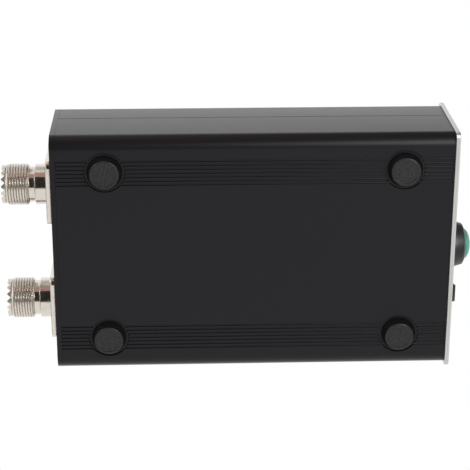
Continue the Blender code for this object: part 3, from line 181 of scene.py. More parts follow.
class PlateSizes(bpy.types.PropertyGroup):
    """Sizes of the end plates, the gasket and their screws."""
    panel_corner: length("Panel corner", "Corner radius of the front panel", 0.002)
    panel_edge: length("Panel edge", "Softened edge of the front panel", 0.00018)
    panel_groove: length("Panel edge groove", "Fine line along the middle of the panel's edge", 0.00006)
    gasket_band: length("Gasket band", "Width of the gasket's band", 0.0022)
    panel_overhang: length("Panel overhang", "How far the front panel stands out past the case", 0.0005)
    plate_corner: length("Plate corner", "Corner radius of the rear plate", 0.005)
    plate_edge: length("Plate edge", "Softened edge of the rear plate", 0.00006)
    screw_head: length("Screw head", "Radius of a plate screw's head", 0.00275)
    screw_shank: length("Screw shank", "Radius of a plate screw's shank", 0.0013)
    screw_cone: length("Screw cone", "Height of a screw's countersunk head", 0.0014)
    screw_dome: length("Screw dome", "Rise of a plate screw's head", 0.0004)
    screw_hole: length("Screw hole", "Radius of a screw's clearance hole", 0.0017)
    screw_pitch: length("Screw pitch", "Pitch of a plate screw's thread", 0.0005)
    recess: length("Recess", "Reach of the cross recess", 0.0015)
    recess_width: length("Recess width", "Width of the cross recess's slots", 0.00055)
    recess_depth: length("Recess depth", "Depth of the cross recess", 0.0011)


class SocketSizes(bpy.types.PropertyGroup):
    """Sizes of the two coaxial sockets and the charge socket."""
    flange_corner: length("Flange corner", "Corner radius of the flange", 0.0027)
    flange: length("Flange", "Thickness of the flange", 0.0022)
    flange_edge: length("Flange edge", "Softened edge of the flange", 0.00022)
    screw_spacing: length("Screw spacing", "Between the screws of a flange", 0.01826)
    screw_head: length("Screw head", "Radius of a flange screw's head", 0.0027)
    screw_length: length("Screw length", "Length of a flange screw", 0.0055)
    collar_radius: length("Collar radius", "Radius of the plain collar", 0.00785)
    collar: length("Collar", "Length of the plain collar", 0.0046)
    neck_radius: length("Neck radius", "Radius of the neck behind the thread", 0.00685)
    neck: length("Neck", "Length of the neck", 0.0026)
    crest: length("Thread crest", "Outer radius of the thread", 0.00794)
    root: length("Thread root", "Inner radius of the thread", 0.00745)
    pitch: length("Thread pitch", "Pitch of the thread", 0.00105)
    turns: count("Thread turns", "Turns of the thread", 8)
    lead_in: length("Lead-in radius", "Radius at the toothed rim", 0.0074)
    tooth: length("Tooth", "Height of the rim's teeth", 0.0015)
    teeth: count("Teeth", "Teeth round the rim", 16)
    bore: length("Bore", "Radius of the barrel's bore", 0.0061)
    hub_radius: length("Hub radius", "Radius of the hub inside the case", 0.0072)
    hub: length("Hub", "Length of the hub inside the case", 0.0058)
    insulator_dish: length("Insulator dish", "Depth of the ring moulded in the insulator's face", 0.0009)
    contact_radius: length("Contact radius", "Outer radius of the centre contact", 0.0027)
    contact_bore: length("Contact bore", "Bore of the centre contact", 0.002)
    contact_depth: length("Contact depth", "Depth of the contact's bore", 0.012)
    contact_slot: length("Contact slot", "Width of the contact's slots", 0.0004)
    cup_radius: length("Solder cup", "Bore of the solder cup", 0.0013)
    cup_depth: length("Solder cup depth", "Depth of the solder cup", 0.0035)
    charge_wall: length("Charge socket wall", "Sheet of the charge socket's shell", 0.0003)
    charge_back: length("Charge socket back", "Solid back of the charge socket", 0.0012)
    tongue_recess: length("Tongue recess", "From the charge socket's mouth to its tongue", 0.0008)
    tongue_width: length("Tongue width", "Width of the charge socket's tongue", 0.0067)
    tongue: length("Tongue", "Thickness of the charge socket's tongue", 0.0007)
    pad: length("Contact pad", "Thickness of a contact pad on the tongue", 0.00008)
    pads: count("Contact pads", "Contact pads on each face of the tongue", 6)


class ControlSizes(bpy.types.PropertyGroup):
    """Sizes of the push button, the rocker switch and the display."""
    bezel_base: length("Bezel base", "Radius of the button's bezel at the panel", 0.0094)
    bezel_waist: length("Bezel waist", "Radius of the bezel over its straight part", 0.009)
    bezel_shoulder: length("Bezel shoulder", "Radius of the bezel's shoulder", 0.0082)
    bezel_rim: length("Bezel rim", "Radius of the bezel's rim", 0.0066)
    waist_height: length("Waist height", "Height of the bezel's straight part", 0.0031)
    shoulder_height: length("Shoulder height", "Height of the bezel's shoulder", 0.006)
    bezel_height: length("Bezel height", "Height of the bezel", 0.0068)
    bezel_ease: length("Bezel rounding", "Rounding of the bezel's waist and shoulder", 0.0004)
    barrel_radius: length("Barrel radius", "Radius of the button's threaded barrel", 0.0058)
    barrel_pitch: length("Barrel pitch", "Pitch of the barrel's thread", 0.001)
    barrel_thread: length("Barrel thread", "Depth of the barrel's thread", 0.00035)
    barrel_depth: length("Barrel depth", "Length of the barrel behind the panel's face", 0.0165)
    cap_radius: length("Cap radius", "Radius of the green cap", 0.006)
    cap_dome: length("Cap dome", "Height of the cap's dome", 0.0026)
    cap_skirt: length("Cap skirt", "Depth of the cap's skirt", 0.0035)
    cap_travel: length("Cap travel", "Travel of the cap", 0.0018)
    stem_radius: length("Stem radius", "Radius of the cap's stem", 0.0016)
    stem_length: length("Stem length", "Length of the cap's stem", 0.0115)
    chamber_radius: length("Chamber radius", "Radius of the spring's chamber", 0.0045)
    chamber_depth: length("Chamber depth", "Depth of the spring's chamber", 0.0075)
    stem_bore_depth: length("Stem bore depth", "Depth of the bore below the chamber", 0.0055)
    spring_radius: length("Spring radius", "Radius of the spring's turns", 0.0032)
    spring_wire: length("Spring wire", "Radius of the spring's wire", 0.00025)
    spring_turns: count("Spring turns", "Turns of the spring", 5)
    blade_width: length("Blade width", "Width of a terminal blade", 0.0028)
    blade: length("Blade", "Thickness of a terminal blade", 0.0005)
    blade_length: length("Blade length", "Length of a terminal blade", 0.006)
    button_blade: length("Button blade place", "From the button's axis to a blade", 0.003)
    switch_thickness: length("Switch bezel", "Thickness of the switch's bezel", 0.0016)
    switch_depth: length("Switch depth", "Depth of the switch's body", 0.012)
    switch_wall: length("Switch wall", "Wall of the switch's body", 0.0006)
    switch_floor: length("Switch floor", "Floor of the switch's body", 0.0015)
    switch_blade: length("Switch blade place", "From the switch's middle to a blade", 0.0035)
    rocker_width: length("Rocker width", "Width of the rocker", 0.0069)
    rocker_end: length("Rocker end", "Radius of the rocker's ends about its pin", 0.0058)
    rocker_rise: length("Rocker rise", "Height of the rocker's ends over its pin", 0.0023)
    rocker_valley: length("Rocker valley", "Height of the rocker's middle over its pin", 0.0016)
    rocker_edge: length("Rocker edge", "Rounding of the rocker's edges", 0.0003)
    keel_half: length("Keel half width", "Half width of the rocker's keel", 0.0022)
    keel_depth: length("Keel depth", "Depth of the rocker's keel", 0.0045)
    pin_radius: length("Pin radius", "Radius of the rocker's pin", 0.00045)
    pin_reach: length("Pin reach", "How far the pin stands out of the rocker", 0.0009)
    pivot_depth: length("Pivot depth", "Depth of the pin below the bezel's face", 0.0008)
    rocker_tilt: amount("Rocker tilt", "Tilt of the rocker with one end pressed", math.radians(10),
                        'ROTATION')
    window_rim: length("Window rim", "Rim of the window behind the panel", 0.002)
    window_edge: length("Window edge", "Softened edge of the window", 0.00025)


class FinishColours(bpy.types.PropertyGroup):
    """Colours of the finishes, linear."""
    case: colour("Case", "Black anodised metal", (0.0036, 0.0028, 0.0046))
    silver: colour("Silver", "Bare brushed aluminium", (0.62, 0.62, 0.60))
    rubber: colour("Rubber", "Feet and gasket", (0.006, 0.006, 0.0064))
    nickel: colour("Nickel", "Plating of the sockets", (0.70, 0.65, 0.585))
    steel: colour("Steel", "Zinc plated steel", (0.58, 0.58, 0.58))
    screw: colour("Screw", "Black oxide screws", (0.02, 0.02, 0.021))
    brass: colour("Contact", "Gold coloured contacts", (0.78, 0.58, 0.27))
    insulator: colour("Insulator", "Waxy white insulator", (0.80, 0.80, 0.77))
    black_plastic: colour("Black plastic", "Bezels and frames", (0.014, 0.014, 0.015))
    green: colour("Green", "Cap of the tune button", (0.053, 0.30, 0.21))
    marks: colour("Marks", "Printed marks", (0.72, 0.72, 0.70))
    window: colour("Window", "Smoked window", (0.42, 0.44, 0.47))
    glow: colour("Glow", "Lit segments of the display", (0.25, 0.72, 1.0))
    blue_board: colour("Blue board", "Solder mask of the display board", (0.012, 0.045, 0.17))
    green_board: colour("Green board", "Solder mask of the other boards", (0.012, 0.12, 0.045))
    ferrite: colour("Ferrite", "Painted ferrite cores", (0.12, 0.022, 0.016))
    copper: colour("Copper", "Enamelled copper wire", (0.62, 0.26, 0.12))
    amber: colour("Amber", "Dipped capacitors", (0.60, 0.30, 0.05))
    pouch: colour("Pouch", "Foil of the battery", (0.60, 0.61, 0.63))
    foam: colour("Foam", "Foam tape", (0.70, 0.70, 0.66))
    red_wire: colour("Red wire", "Insulation of the supply wires", (0.42, 0.02, 0.02))


class StudioSizes(bpy.types.PropertyGroup):
    """Camera, lamps in watts, and floor."""
    lens: amount("Lens", "Focal length of the camera in millimetres", 118.93, 'CAMERA')
    front_power: amount("Front lamp", "Power of the softbox before the front panel", 2.6, 'POWER')
    rear_power: amount("Rear lamp", "Power of the softbox behind the sockets", 0.6, 'POWER')
    roof_power: amount("Roof lamp", "Power of the softbox over the case", 0.12, 'POWER')
    floor: colour("Floor", "Pale floor", (0.86, 0.86, 0.86))


class TunerSettings(bpy.types.PropertyGroup):
    """Everything that a user would change."""
    case: bpy.props.PointerProperty(type=CaseSizes)
    plates: bpy.props.PointerProperty(type=PlateSizes)
    sockets: bpy.props.PointerProperty(type=SocketSizes)
    controls: bpy.props.PointerProperty(type=ControlSizes)
    colours: bpy.props.PointerProperty(type=FinishColours)
    studio: bpy.props.PointerProperty(type=StudioSizes)


# Outputs of the texture coordinate and the geometry node
OBJECT_OUTPUT = 3
BACKFACING_OUTPUT = 6


class Value:
    """A number socket that can stand in a sum: each operator adds its Math node."""

    def __init__(self, tree, socket):
        self.tree = tree
        self.socket = socket

    def __add__(self, other):
        return self.tree.math('ADD', self, other)

    def __radd__(self, other):
        return self.tree.math('ADD', other, self)

    def __rsub__(self, other):
        return self.tree.math('SUBTRACT', other, self)

    def __mul__(self, other):
        return self.tree.math('MULTIPLY', self, other)

    def __rmul__(self, other):
        return self.tree.math('MULTIPLY', other, self)

    def __gt__(self, other):
        return self.tree.math('GREATER_THAN', self, other)


class NodeTree:
    """A node tree and the one way that nodes are added to it."""

    def __init__(self, tree):
        self.tree = tree

    def node(self, kind, settings=None, values=None, output=0):
        """Add a node: its settings, then the values or links of its sockets."""
        node = self.tree.nodes.new(kind)
        for name, setting in (settings or {}).items():
            setattr(node, name, setting)
        for socket, value in (values or {}).items():
            if isinstance(value, Value):
                self.tree.links.new(value.socket, node.inputs[socket])
            else:
                node.inputs[socket].default_value = value
        return Value(self, node.outputs[output])

    def math(self, operation, first, second=0.0):
        """Work on one or two numbers."""
        return self.node('ShaderNodeMath', {'operation': operation}, {0: first, 1: second})

    def mix(self, factor, first, second):
        """Blend two colours by a factor: the node's colours are its sockets 6 and 7, and its output 2."""
        return self.node('ShaderNodeMix', {'data_type': 'RGBA'}, {0: factor, 6: first, 7: second}, 2)

    def ranged(self, value, lowest, highest):
        """Carry a range of a value to 0 to 1, smoothly and without overshoot."""
        return self.node('ShaderNodeMapRange', {'interpolation_type': 'SMOOTHSTEP'},
                         {0: value, 1: lowest, 2: highest})


class Finish(NodeTree):
    """One procedural material."""

    def __init__(self, name, **constants):
        self.material = bpy.data.materials.new(name)
        self.material.use_nodes = True
        super().__init__(self.material.node_tree)
        self.shader = self.tree.nodes["Principled BSDF"]
        for name, value in constants.items():
            self.shader.inputs[name.replace("_", " ")].default_value = value

    def place(self):
        """The position on the piece, in metres."""
        return self.node('ShaderNodeTexCoord', output=OBJECT_OUTPUT)

    def along(self, axis):
        """One coordinate of the position: 0, 1 or 2 for X, Y or Z."""
        return self.node('ShaderNodeSeparateXYZ', values={0: self.place()}, output=axis)

    def noise(self, scale, detail=2.0, roughness=0.5, stretch=(1, 1, 1)):
        """Noise over the piece; a small stretch value draws it out along that axis."""
        spot = self.node('ShaderNodeMapping', values={'Vector': self.place(), 'Scale': stretch})
        return self.node('ShaderNodeTexNoise', values={'Vector': spot, 'Scale': scale, 'Detail': detail,
                                                       'Roughness': roughness})

    def feed(self, **links):
        """Link varying values to the shader's own sockets."""
        for name, value in links.items():
            self.tree.links.new(value.socket, self.shader.inputs[name.replace("_", " ")])

    def bump(self, height, distance):
        """A relief of the given depth in metres."""
        self.feed(Normal=self.node('ShaderNodeBump', values={'Height': height, 'Distance': distance}))

    def shades(self, pattern, rgb, darkest, lightest):
        """A colour that a pattern carries between two shares of its brightness."""
        return self.mix(pattern, tint(rgb, darkest), tint(rgb, lightest))


def tint(rgb, factor):
    """A linear colour with alpha, made lighter or darker."""
    return (*(min(1.0, channel * factor) for channel in rgb), 1.0)


finishes = {}


def finish(name):
    """A finish by its name, made the first time that it is asked for."""
    if name not in finishes:
        maker = FINISH_MAKERS.get(name, plain)
        finishes[name] = maker(name, bpy.context.scene.antenna_tuner.colours)
    return finishes[name]


# Finishes that one noise pattern carries: the colour with its darkest and lightest share, the roughness
# with its spread, the relief in metres, the pattern's scale, detail and roughness, and the constants
PLAIN_FINISHES = {
    # Smooth foam rubber between the case and the front panel
    "gasket": ("rubber", (0.4, 0.8), (0.38, 0.10), 0.000006, (5200, 3.0, 0.6),
               {"Specular_IOR_Level": 0.1, "Coat_Weight": 1.0, "Coat_IOR": 1.25, "Coat_Roughness": 0.4}),
    # Zinc plated steel, slightly cloudy
    "zinc_steel": ("steel", (0.85, 1.1), (0.22, 0.14), 0.000003, (1600, 4.0, 0.6), {"Metallic": 1.0}),
    # Black oxide steel, faintly oiled
    "black_screw": ("screw", (0.7, 1.5), (0.28, 0.16), 0.000004, (2600, 3.0, 0.6),
                    {"Metallic": 0.5, "Specular_IOR_Level": 0.5}),
    # Gold coloured contact metal
    "brass_contact": ("brass", (0.9, 1.08), (0.18, 0.10), 0, (1800, 3.0), {"Metallic": 1.0}),
    # Glossy black plastic of the rocker
    "gloss_black": ("black_plastic", (0.75, 1.1), (0.14, 0.08), 0.00001, (500, 3.0), {}),
    # Printed marks, slightly uneven in their ink
    "marks": ("marks", (0.88, 1.05), (0.4, 0.1), 0, (5000, 3.0), {}),
    # Smoked clear acrylic
    "clear_window": ("window", (0.97, 1.03), (0.015, 0.02), 0, (300, 3.0),
                     {"Transmission_Weight": 1.0, "IOR": 1.49}),
    # Painted ferrite, dull and slightly pitted
    "ferrite": ("ferrite", (0.7, 1.3), (0.45, 0.2), 0.00003, (2600, 4.0, 0.6), {"Specular_IOR_Level": 0.4}),
    # Dipped ceramic, glossy with a soft flow
    "amber_capacitor": ("amber", (0.8, 1.2), (0.2, 0.15), 0.00008, (700, 3.0), {}),
    # Crinkled foil of the battery's pouch
    "silver_pouch": ("pouch", (0.85, 1.08), (0.28, 0.18), 0.00018, (380, 5.0, 0.7), {"Metallic": 0.7}),
    # Coloured insulation of the hook-up wires
    "red_wire": ("red_wire", (0.85, 1.15), (0.35, 0.12), 0, (1500, 2.0), {"Specular_IOR_Level": 0.4}),
    "black_wire": ("black_plastic", (0.85, 1.15), (0.35, 0.12), 0, (1500, 2.0), {"Specular_IOR_Level": 0.4}),
}


def plain(name, colours):
    """A finish of the table, whose one pattern carries colour, roughness and relief."""
    colour_name, shares, (rough, spread), relief, noise, constants = PLAIN_FINISHES[name]
    skin = Finish(name, **constants)
    pattern = skin.noise(*noise)
    skin.feed(Base_Color=skin.shades(pattern, getattr(colours, colour_name), *shares),
              Roughness=rough + spread * pattern)
    if relief:
        skin.bump(pattern, relief)
    return skin.material


def anodised(name, colours):
    """Black anodised metal: satin grain, faint draw lines along the extrusion, a few handling marks."""
    skin = Finish(name, Specular_IOR_Level=0.1, Coat_Weight=1.0, Coat_IOR=1.27, Coat_Roughness=0.31)
    grain = skin.noise(14000, 3.0, 0.6)
    drawn = skin.noise(1, 4.0, 0.6, (5200, 14, 5200))
    cloud = skin.noise(70, 3.0)
    skin.feed(Base_Color=skin.shades(skin.ranged(grain, 0.35, 0.7), colours.case, 0.8, 1.35),
              Roughness=0.34 + 0.08 * grain + 0.05 * cloud + 0.04 * drawn)
    skin.bump(grain + 0.6 * drawn, 0.000004)
    return skin.material


def brushed_silver(name, colours):
    """Bare aluminium, brushed from side to side."""
    skin = Finish(name, Metallic=1.0)
    strokes = skin.noise(1, 5.0, 0.65, (60, 9000, 9000))
    haze = skin.noise(45, 2.0)
    skin.feed(Base_Color=skin.shades(strokes, colours.silver, 0.93, 1.06),
              Roughness=0.30 + 0.10 * strokes + 0.05 * haze)
    skin.bump(strokes, 0.000006)
    return skin.material


def rubber(name, colours):
    """Moulded rubber: sides darkened as painted shade, a mottled, dusty tip lightened partly as painted
    light, and a lighter rim round the tip as a painted highlight.
    """
    skin = Finish(name, Specular_IOR_Level=0.1, Coat_Roughness=0.22)
    mottle = skin.noise(1500, 5.0, 0.68)
    grain = skin.noise(11000, 2.0)
    height = skin.along(2)
    tip = 1 - skin.ranged(height, 0.00016, 0.0002)
    rim = tip * skin.ranged(height, 0.00011, 0.00013)
    # The tip's colour: a mottle of dust, made lighter than the sides partly as painted light
    dust_and_painted_light = skin.shades(skin.ranged(mottle, 0.35, 0.7), colours.rubber, 1.0, 4.5)
    # A much lighter band round the tip's edge: a painted highlight
    painted_rim_highlight = skin.mix(rim, dust_and_painted_light, tint(colours.rubber, 8.0))
    # The sides take a darker copy of the rubber: painted shade
    skin.feed(Base_Color=skin.mix(tip, tint(colours.rubber, 0.6), painted_rim_highlight), Roughness=0.55 + 0.14 * mottle,
              Coat_Weight=0.05 + 0.4 * tip)
    skin.bump(grain, 0.00001)
    return skin.material


def nickel(name, colours):
    """Nickel plating: polished with fine turning marks, duller on the cut thread, with a few dull spots."""
    skin = Finish(name, Metallic=1.0)
    sockets = bpy.context.scene.antenna_tuner.sockets
    thread_start = low("antenna_socket").y + sockets.hub + sockets.flange + sockets.collar + sockets.neck
    turning = skin.noise(1, 3.0, 0.7, (30, 9000, 30))
    spots = skin.noise(420, 4.0, 0.65)
    thread = skin.ranged(skin.along(1), thread_start - sockets.flange_edge, thread_start)
    skin.feed(Base_Color=skin.shades(skin.ranged(spots, 0.4, 0.75), colours.nickel, 1.0, 0.90),
              Roughness=0.12 + 0.05 * turning + 0.06 * skin.ranged(spots, 0.45, 0.75) + 0.15 * thread)
    skin.bump(turning, 0.000003)
    return skin.material


def insulator(name, colours):
    """A waxy white insulator with a fine grain."""
    skin = Finish(name, Specular_IOR_Level=0.4, Subsurface_Weight=0.15, Subsurface_Scale=0.001)
    cloud = skin.noise(500, 3.0)
    skin.feed(Base_Color=skin.shades(cloud, colours.insulator, 0.96, 1.03), Roughness=0.36 + 0.10 * cloud)
    skin.bump(skin.noise(7000), 0.000004)
    return skin.material


def black_plastic(name, colours):
    """Moulded black plastic with a fine spark texture."""
    skin = Finish(name)
    grain = skin.noise(9000, 3.0, 0.55)
    flow = skin.noise(260, 2.0)
    skin.feed(Base_Color=skin.shades(grain, colours.black_plastic, 0.8, 1.3),
              Roughness=0.30 + 0.08 * grain + 0.05 * flow)
    skin.bump(grain, 0.000007)
    return skin.material


def green_cap(name, colours):
    """Green plastic with a faint flow pattern and a fine grain."""
    skin = Finish(name, Subsurface_Weight=0.08, Subsurface_Scale=0.0008)
    flow = skin.noise(380, 4.0, 0.6)
    skin.feed(Base_Color=skin.shades(flow, colours.green, 0.9, 1.1), Roughness=0.26 + 0.10 * flow)
    skin.bump(skin.noise(8000), 0.000004)
    return skin.material


def glow(name, colours):
    """Lit segments behind the window, a little brighter where the display's rows run."""
    skin = Finish(name, Emission_Strength=1.0, Roughness=0.4)
    rows = skin.noise(1, 1.0, 0.5, (30, 30, 5000))
    skin.feed(Base_Color=skin.shades(rows, colours.glow, 0.2, 0.25),
              Emission_Color=skin.shades(rows, colours.glow, 0.85, 1.1))
    return skin.material


def display_glass(name, colours):
    """The display's black glass."""
    skin = Finish(name)
    flow = skin.noise(120, 2.0)
    skin.feed(Base_Color=skin.mix(flow, (0.004, 0.005, 0.008, 1), (0.007, 0.008, 0.012, 1)),
              Roughness=0.05 + 0.05 * flow)
    return skin.material


def board(name, colours):
    """A circuit board: solder mask over faint copper tracks, with tinned pads."""
    skin = Finish(name)
    x, y = skin.along(0), skin.along(1)
    across = skin.math('PINGPONG', x + 0.0004 * skin.noise(160), 0.0009)
    lengthwise = skin.math('PINGPONG', y + 0.0004 * skin.noise(190), 0.0012)
    fields = skin.noise(90, 1.0) > 0.5
    tracks = fields * (across > 0.00065) + (1 - fields) * (lengthwise > 0.0009)
    pad_x = skin.math('PINGPONG', x, 0.00127) > 0.00098
    pad_y = skin.math('PINGPONG', y, 0.00127) > 0.00098
    pads = pad_x * pad_y * (skin.noise(120, 1.0) > 0.56)
    masked = skin.shades(tracks, getattr(colours, name), 1.0, 1.5)
    skin.feed(Base_Color=skin.mix(pads, masked, (0.60, 0.60, 0.58, 1)), Roughness=0.28 + 0.10 * tracks,
              Metallic=pads)
    skin.bump(tracks + pads, 0.00003)
    return skin.material


def copper_wire(name, colours):
    """Enamelled copper wire: a clear coat over a red metal."""
    skin = Finish(name, Metallic=1.0, Coat_Roughness=0.1)
    cloud = skin.noise(1200, 3.0)
    skin.feed(Base_Color=skin.shades(cloud, colours.copper, 0.8, 1.15), Roughness=0.2 + 0.12 * cloud,
              Coat_Weight=0.5 + 0.4 * cloud)
    return skin.material


def foam_tape(name, colours):
    """Open foam with fine cells."""
    skin = Finish(name, Specular_IOR_Level=0.2)
    cells = skin.node('ShaderNodeTexVoronoi', values={'Vector': skin.place(), 'Scale': 2200})
    skin.feed(Base_Color=skin.shades(cells, colours.foam, 0.8, 1.05), Roughness=0.8 + 0.1 * cells)
    skin.bump(cells, 0.00012)
    return skin.material


FINISH_MAKERS = {
    "black_anodised": anodised, "bare_aluminium": brushed_silver, "black_rubber": rubber, "nickel": nickel,
    "insulator": insulator, "black_plastic": black_plastic, "green_cap": green_cap, "glow": glow,
    "display_glass": display_glass, "blue_board": board, "green_board": board, "copper_wire": copper_wire,
    "foam_tape": foam_tape,
}


def arc(centre, radius, first, last, steps):
    """Points on an arc, from one angle in degrees to another."""
    angles = [math.radians(first + (last - first) * step / steps) for step in range(steps + 1)]
    return [(centre[0] + radius * math.cos(angle), centre[1] + radius * math.sin(angle)) for angle in angles]


def rounded_rectangle(width, height, radius, centre=(0, 0), steps=CORNER_STEPS):
    """The outline of a rectangle with round corners."""
    across, up = width / 2 - radius, height / 2 - radius
    outline = []
    for quarter, (side, level) in enumerate(((1, 1), (-1, 1), (-1, -1), (1, -1))):
        corner = (centre[0] + side * across, centre[1] + level * up)
        outline += arc(corner, radius, quarter * 90, quarter * 90 + 90, steps)
    return outline


def eased(points, closed=False):
    """An outline in which each corner that has a third number is rounded over that distance."""
    outline = []
    for index, point in enumerate(points):
        corner = Vector(point[:2])
        if len(point) < 3 or (not closed and index in (0, len(points) - 1)):
            outline.append(corner)
            continue
        before = Vector(points[index - 1][:2]) - corner
        after = Vector(points[(index + 1) % len(points)][:2]) - corner
        start = corner + before.normalized() * min(point[2], before.length / 2)
        end = corner + after.normalized() * min(point[2], after.length / 2)
        for step in range(EASE_STEPS + 1):
            done = step / EASE_STEPS
            outline.append(start * (1 - done) ** 2 + corner * 2 * done * (1 - done) + end * done ** 2)
    return outline


def slab(outline, reach):
    """A closed outline of 3-D points, extruded by the vector reach."""
    shape = bmesh.new()
    face = shape.faces.new([shape.verts.new(point) for point in outline])
    grown = bmesh.ops.extrude_face_region(shape, geom=[face])
    far_side = [item for item in grown["geom"] if isinstance(item, bmesh.types.BMVert)]
    bmesh.ops.translate(shape, verts=far_side, vec=reach)
    bmesh.ops.recalc_face_normals(shape, faces=shape.faces)
    return shape


def plate(outline, bottom, top):
    """An outline of (x, y) points, extruded from one height to another."""
    return slab([(x, y, bottom) for x, y in outline], (0, 0, top - bottom))


def along_y(outline, start, end):
    """An outline of (x, z) points, extruded from one Y station to another."""
    return slab([(x, start, z) for x, z in outline], (0, end - start, 0))


def block(lowest, highest):
    """A box between two corners."""
    shape = bmesh.new()
    size = Vector(highest) - Vector(lowest)
    seat = Matrix.Translation((Vector(lowest) + Vector(highest)) / 2) @ Matrix.Diagonal((*size, 1))
    bmesh.ops.create_cube(shape, size=1.0, matrix=seat)
    return shape


def turned(profile, steps=ROUND_STEPS, closed=False):
    """Spin a profile of (radius, height) points about Z."""
    shape = bmesh.new()
    line = [shape.verts.new((radius, 0, height)) for radius, height in profile]
    pairs = list(zip(line, line[1:]))
    if closed:
        pairs.append((line[-1], line[0]))
    edges = [shape.edges.new(pair) for pair in pairs]
    bmesh.ops.spin(shape, geom=line + edges, cent=(0, 0, 0), axis=(0, 0, 1), angle=math.tau, steps=steps,
                   use_merge=True)
    bmesh.ops.remove_doubles(shape, verts=shape.verts, dist=MERGE_DISTANCE)
    bmesh.ops.recalc_face_normals(shape, faces=shape.faces)
    return shape


def rod(radius, bottom, top, steps=HOLE_STEPS):
    """A round bar on Z between two heights."""
    return turned([(0, top), (radius, top), (radius, bottom), (0, bottom)], steps)


def put(shape, at=(0, 0, 0), turn=Matrix.Identity(4)):
    """Turn a shape and move it to its place."""
    bmesh.ops.transform(shape, matrix=Matrix.Translation(at) @ turn, verts=shape.verts)
    return shape


def copied(shape, at=(0, 0, 0), turn=Matrix.Identity(4)):
    """A copy of a shape, turned and moved to its place."""
    return put(shape.copy(), at, turn)


def soften(shape, width, steps=2, least_degrees=35, only=None):
    """Bevel the sharp edges of a shape, or those of them that a test picks."""
    limit = math.radians(least_degrees)
    edges = [edge for edge in shape.edges
             if edge.is_manifold and edge.calc_face_angle() > limit and (only is None or only(edge))]
    bmesh.ops.bevel(shape, geom=edges, offset=width, offset_type='OFFSET', affect='EDGES', segments=steps,
                    profile=0.5, material=-1, clamp_overlap=True)
    return shape


def temporary(name, shape):
    """An object that holds a shape for a Boolean and is removed after it."""
    mesh = bpy.data.meshes.new(name)
    shape.to_mesh(mesh)
    shape.free()
    holder = bpy.data.objects.new(name, mesh)
    bpy.context.scene.collection.objects.link(holder)
    return holder


def combine(shape, *steps):
    """Join shapes to a shape or cut them from it: each step is ('UNION' or 'DIFFERENCE', shape)."""
    holders = [temporary("base", shape)]
    for operation, tool in steps:
        holders.append(temporary("tool", tool))
        boolean = holders[0].modifiers.new("combine", 'BOOLEAN')
        boolean.operation = operation
        boolean.solver = 'EXACT'
        boolean.object = holders[-1]
    result = bmesh.new()
    result.from_object(holders[0], bpy.context.evaluated_depsgraph_get())
    for holder in holders:
        mesh = holder.data
        bpy.data.objects.remove(holder)
        bpy.data.meshes.remove(mesh)
    return result


def cut(shape, *tools):
    """A shape without its tools."""
    return combine(shape, *(('DIFFERENCE', tool) for tool in tools))


def join(shape, *tools):
    """A shape united with its tools."""
    return combine(shape, *(('UNION', tool) for tool in tools))


def show(name, shape, finish_name, body="case", stands_for=()):
    """Turn a shape into a finished piece that rides a body and stands for CAD nodes."""
    bmesh.ops.remove_doubles(shape, verts=shape.verts, dist=MERGE_DISTANCE)
    bmesh.ops.recalc_face_normals(shape, faces=shape.faces)
    mesh = bpy.data.meshes.new(name)
    shape.to_mesh(mesh)
    shape.free()
    mesh.shade_smooth()
    mesh.set_sharp_from_angle(angle=math.radians(SMOOTH_ANGLE_DEGREES))
    mesh.materials.append(finish(finish_name))
    piece = bpy.data.objects.new(name, mesh)
    bpy.context.scene.collection.objects.link(piece)
    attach(piece, body)
    if stands_for:
        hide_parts(*stands_for)
    return piece


def gathered(shapes):
    """Shapes put side by side in one, without a Boolean."""
    group = bmesh.new()
    for shape in shapes:
        held = bpy.data.meshes.new("held")
        shape.to_mesh(held)
        shape.free()
        group.from_mesh(held)
        bpy.data.meshes.remove(held)
    return group


def repaint(node, finish_name):
    """Give a CAD node that stays a procedural finish."""
    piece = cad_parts[node]
    piece.data.materials.clear()
    piece.data.materials.append(finish(finish_name))


def countersink(head, hole, cone, thickness):
    """A cutter for a countersunk hole: its mouth at height 0, running down through a plate."""
    mouth = head + SEAT_GAP
    return turned([(0, CUT_OVERRUN), (mouth, CUT_OVERRUN), (mouth, 0), (hole, -cone),
                   (hole, -thickness - CUT_OVERRUN), (0, -thickness - CUT_OVERRUN)], HOLE_STEPS)


def even_rows(radius, start, end, rows):
    """The side of a round bar in even rows, for threaded() to move in and out."""
    return [(radius, start + (end - start) * row / rows) for row in range(rows + 1)]


def threaded(shape, bottom, top, root, crest, pitch, fade, flank=THREAD_FLANK):
    """Move the rows of a round bar in and out, so that a helical thread runs up it and fades at its ends."""
    for corner in shape.verts:
        height = corner.co.z
        if bottom < height < top and corner.co.xy.length > (root + crest) / 4:
            turn = math.atan2(corner.co.y, corner.co.x) / math.tau
            phase = ((height - bottom) / pitch - turn) % 1.0
            rise = min(1.0, (0.5 - abs(phase - 0.5)) / flank)
            ridge = rise * rise * (3 - 2 * rise)
            ends = min(1.0, (height - bottom) / fade, (top - height) / fade)
            corner.co.xy = corner.co.xy.normalized() * (root + (crest - root) * ridge * ends)
    return shape


def stacked(layers):
    """A solid through a row of like outlines, each an (x, z) outline at its own Y."""
    shape = bmesh.new()
    rings = []
    for y, outline in layers:
        corners = [shape.verts.new((x, y, z)) for x, z in outline]
        rings.append([shape.edges.new(pair) for pair in zip(corners, corners[1:] + corners[:1])])
    skinned(shape, rings)
    bmesh.ops.recalc_face_normals(shape, faces=shape.faces)
    return shape


def skinned(shape, rings):
    """Bridge each ring of edges to the next and close both ends."""
    for ring, following in zip(rings, rings[1:]):
        bmesh.ops.bridge_loops(shape, edges=ring + following)
    for ring in (rings[0], rings[-1]):
        bmesh.ops.holes_fill(shape, edges=ring, sides=0)


def layered(width, height, corner, centre, layers):
    """A plate with round corners through (y, inset) layers, so that its rim can be softened or grooved."""
    return stacked([(y, rounded_rectangle(width - 2 * inset, height - 2 * inset, corner - inset, centre))
                    for y, inset in layers])


FEET = ["foot_front_left", "foot_front_right", "foot_rear_left", "foot_rear_right"]


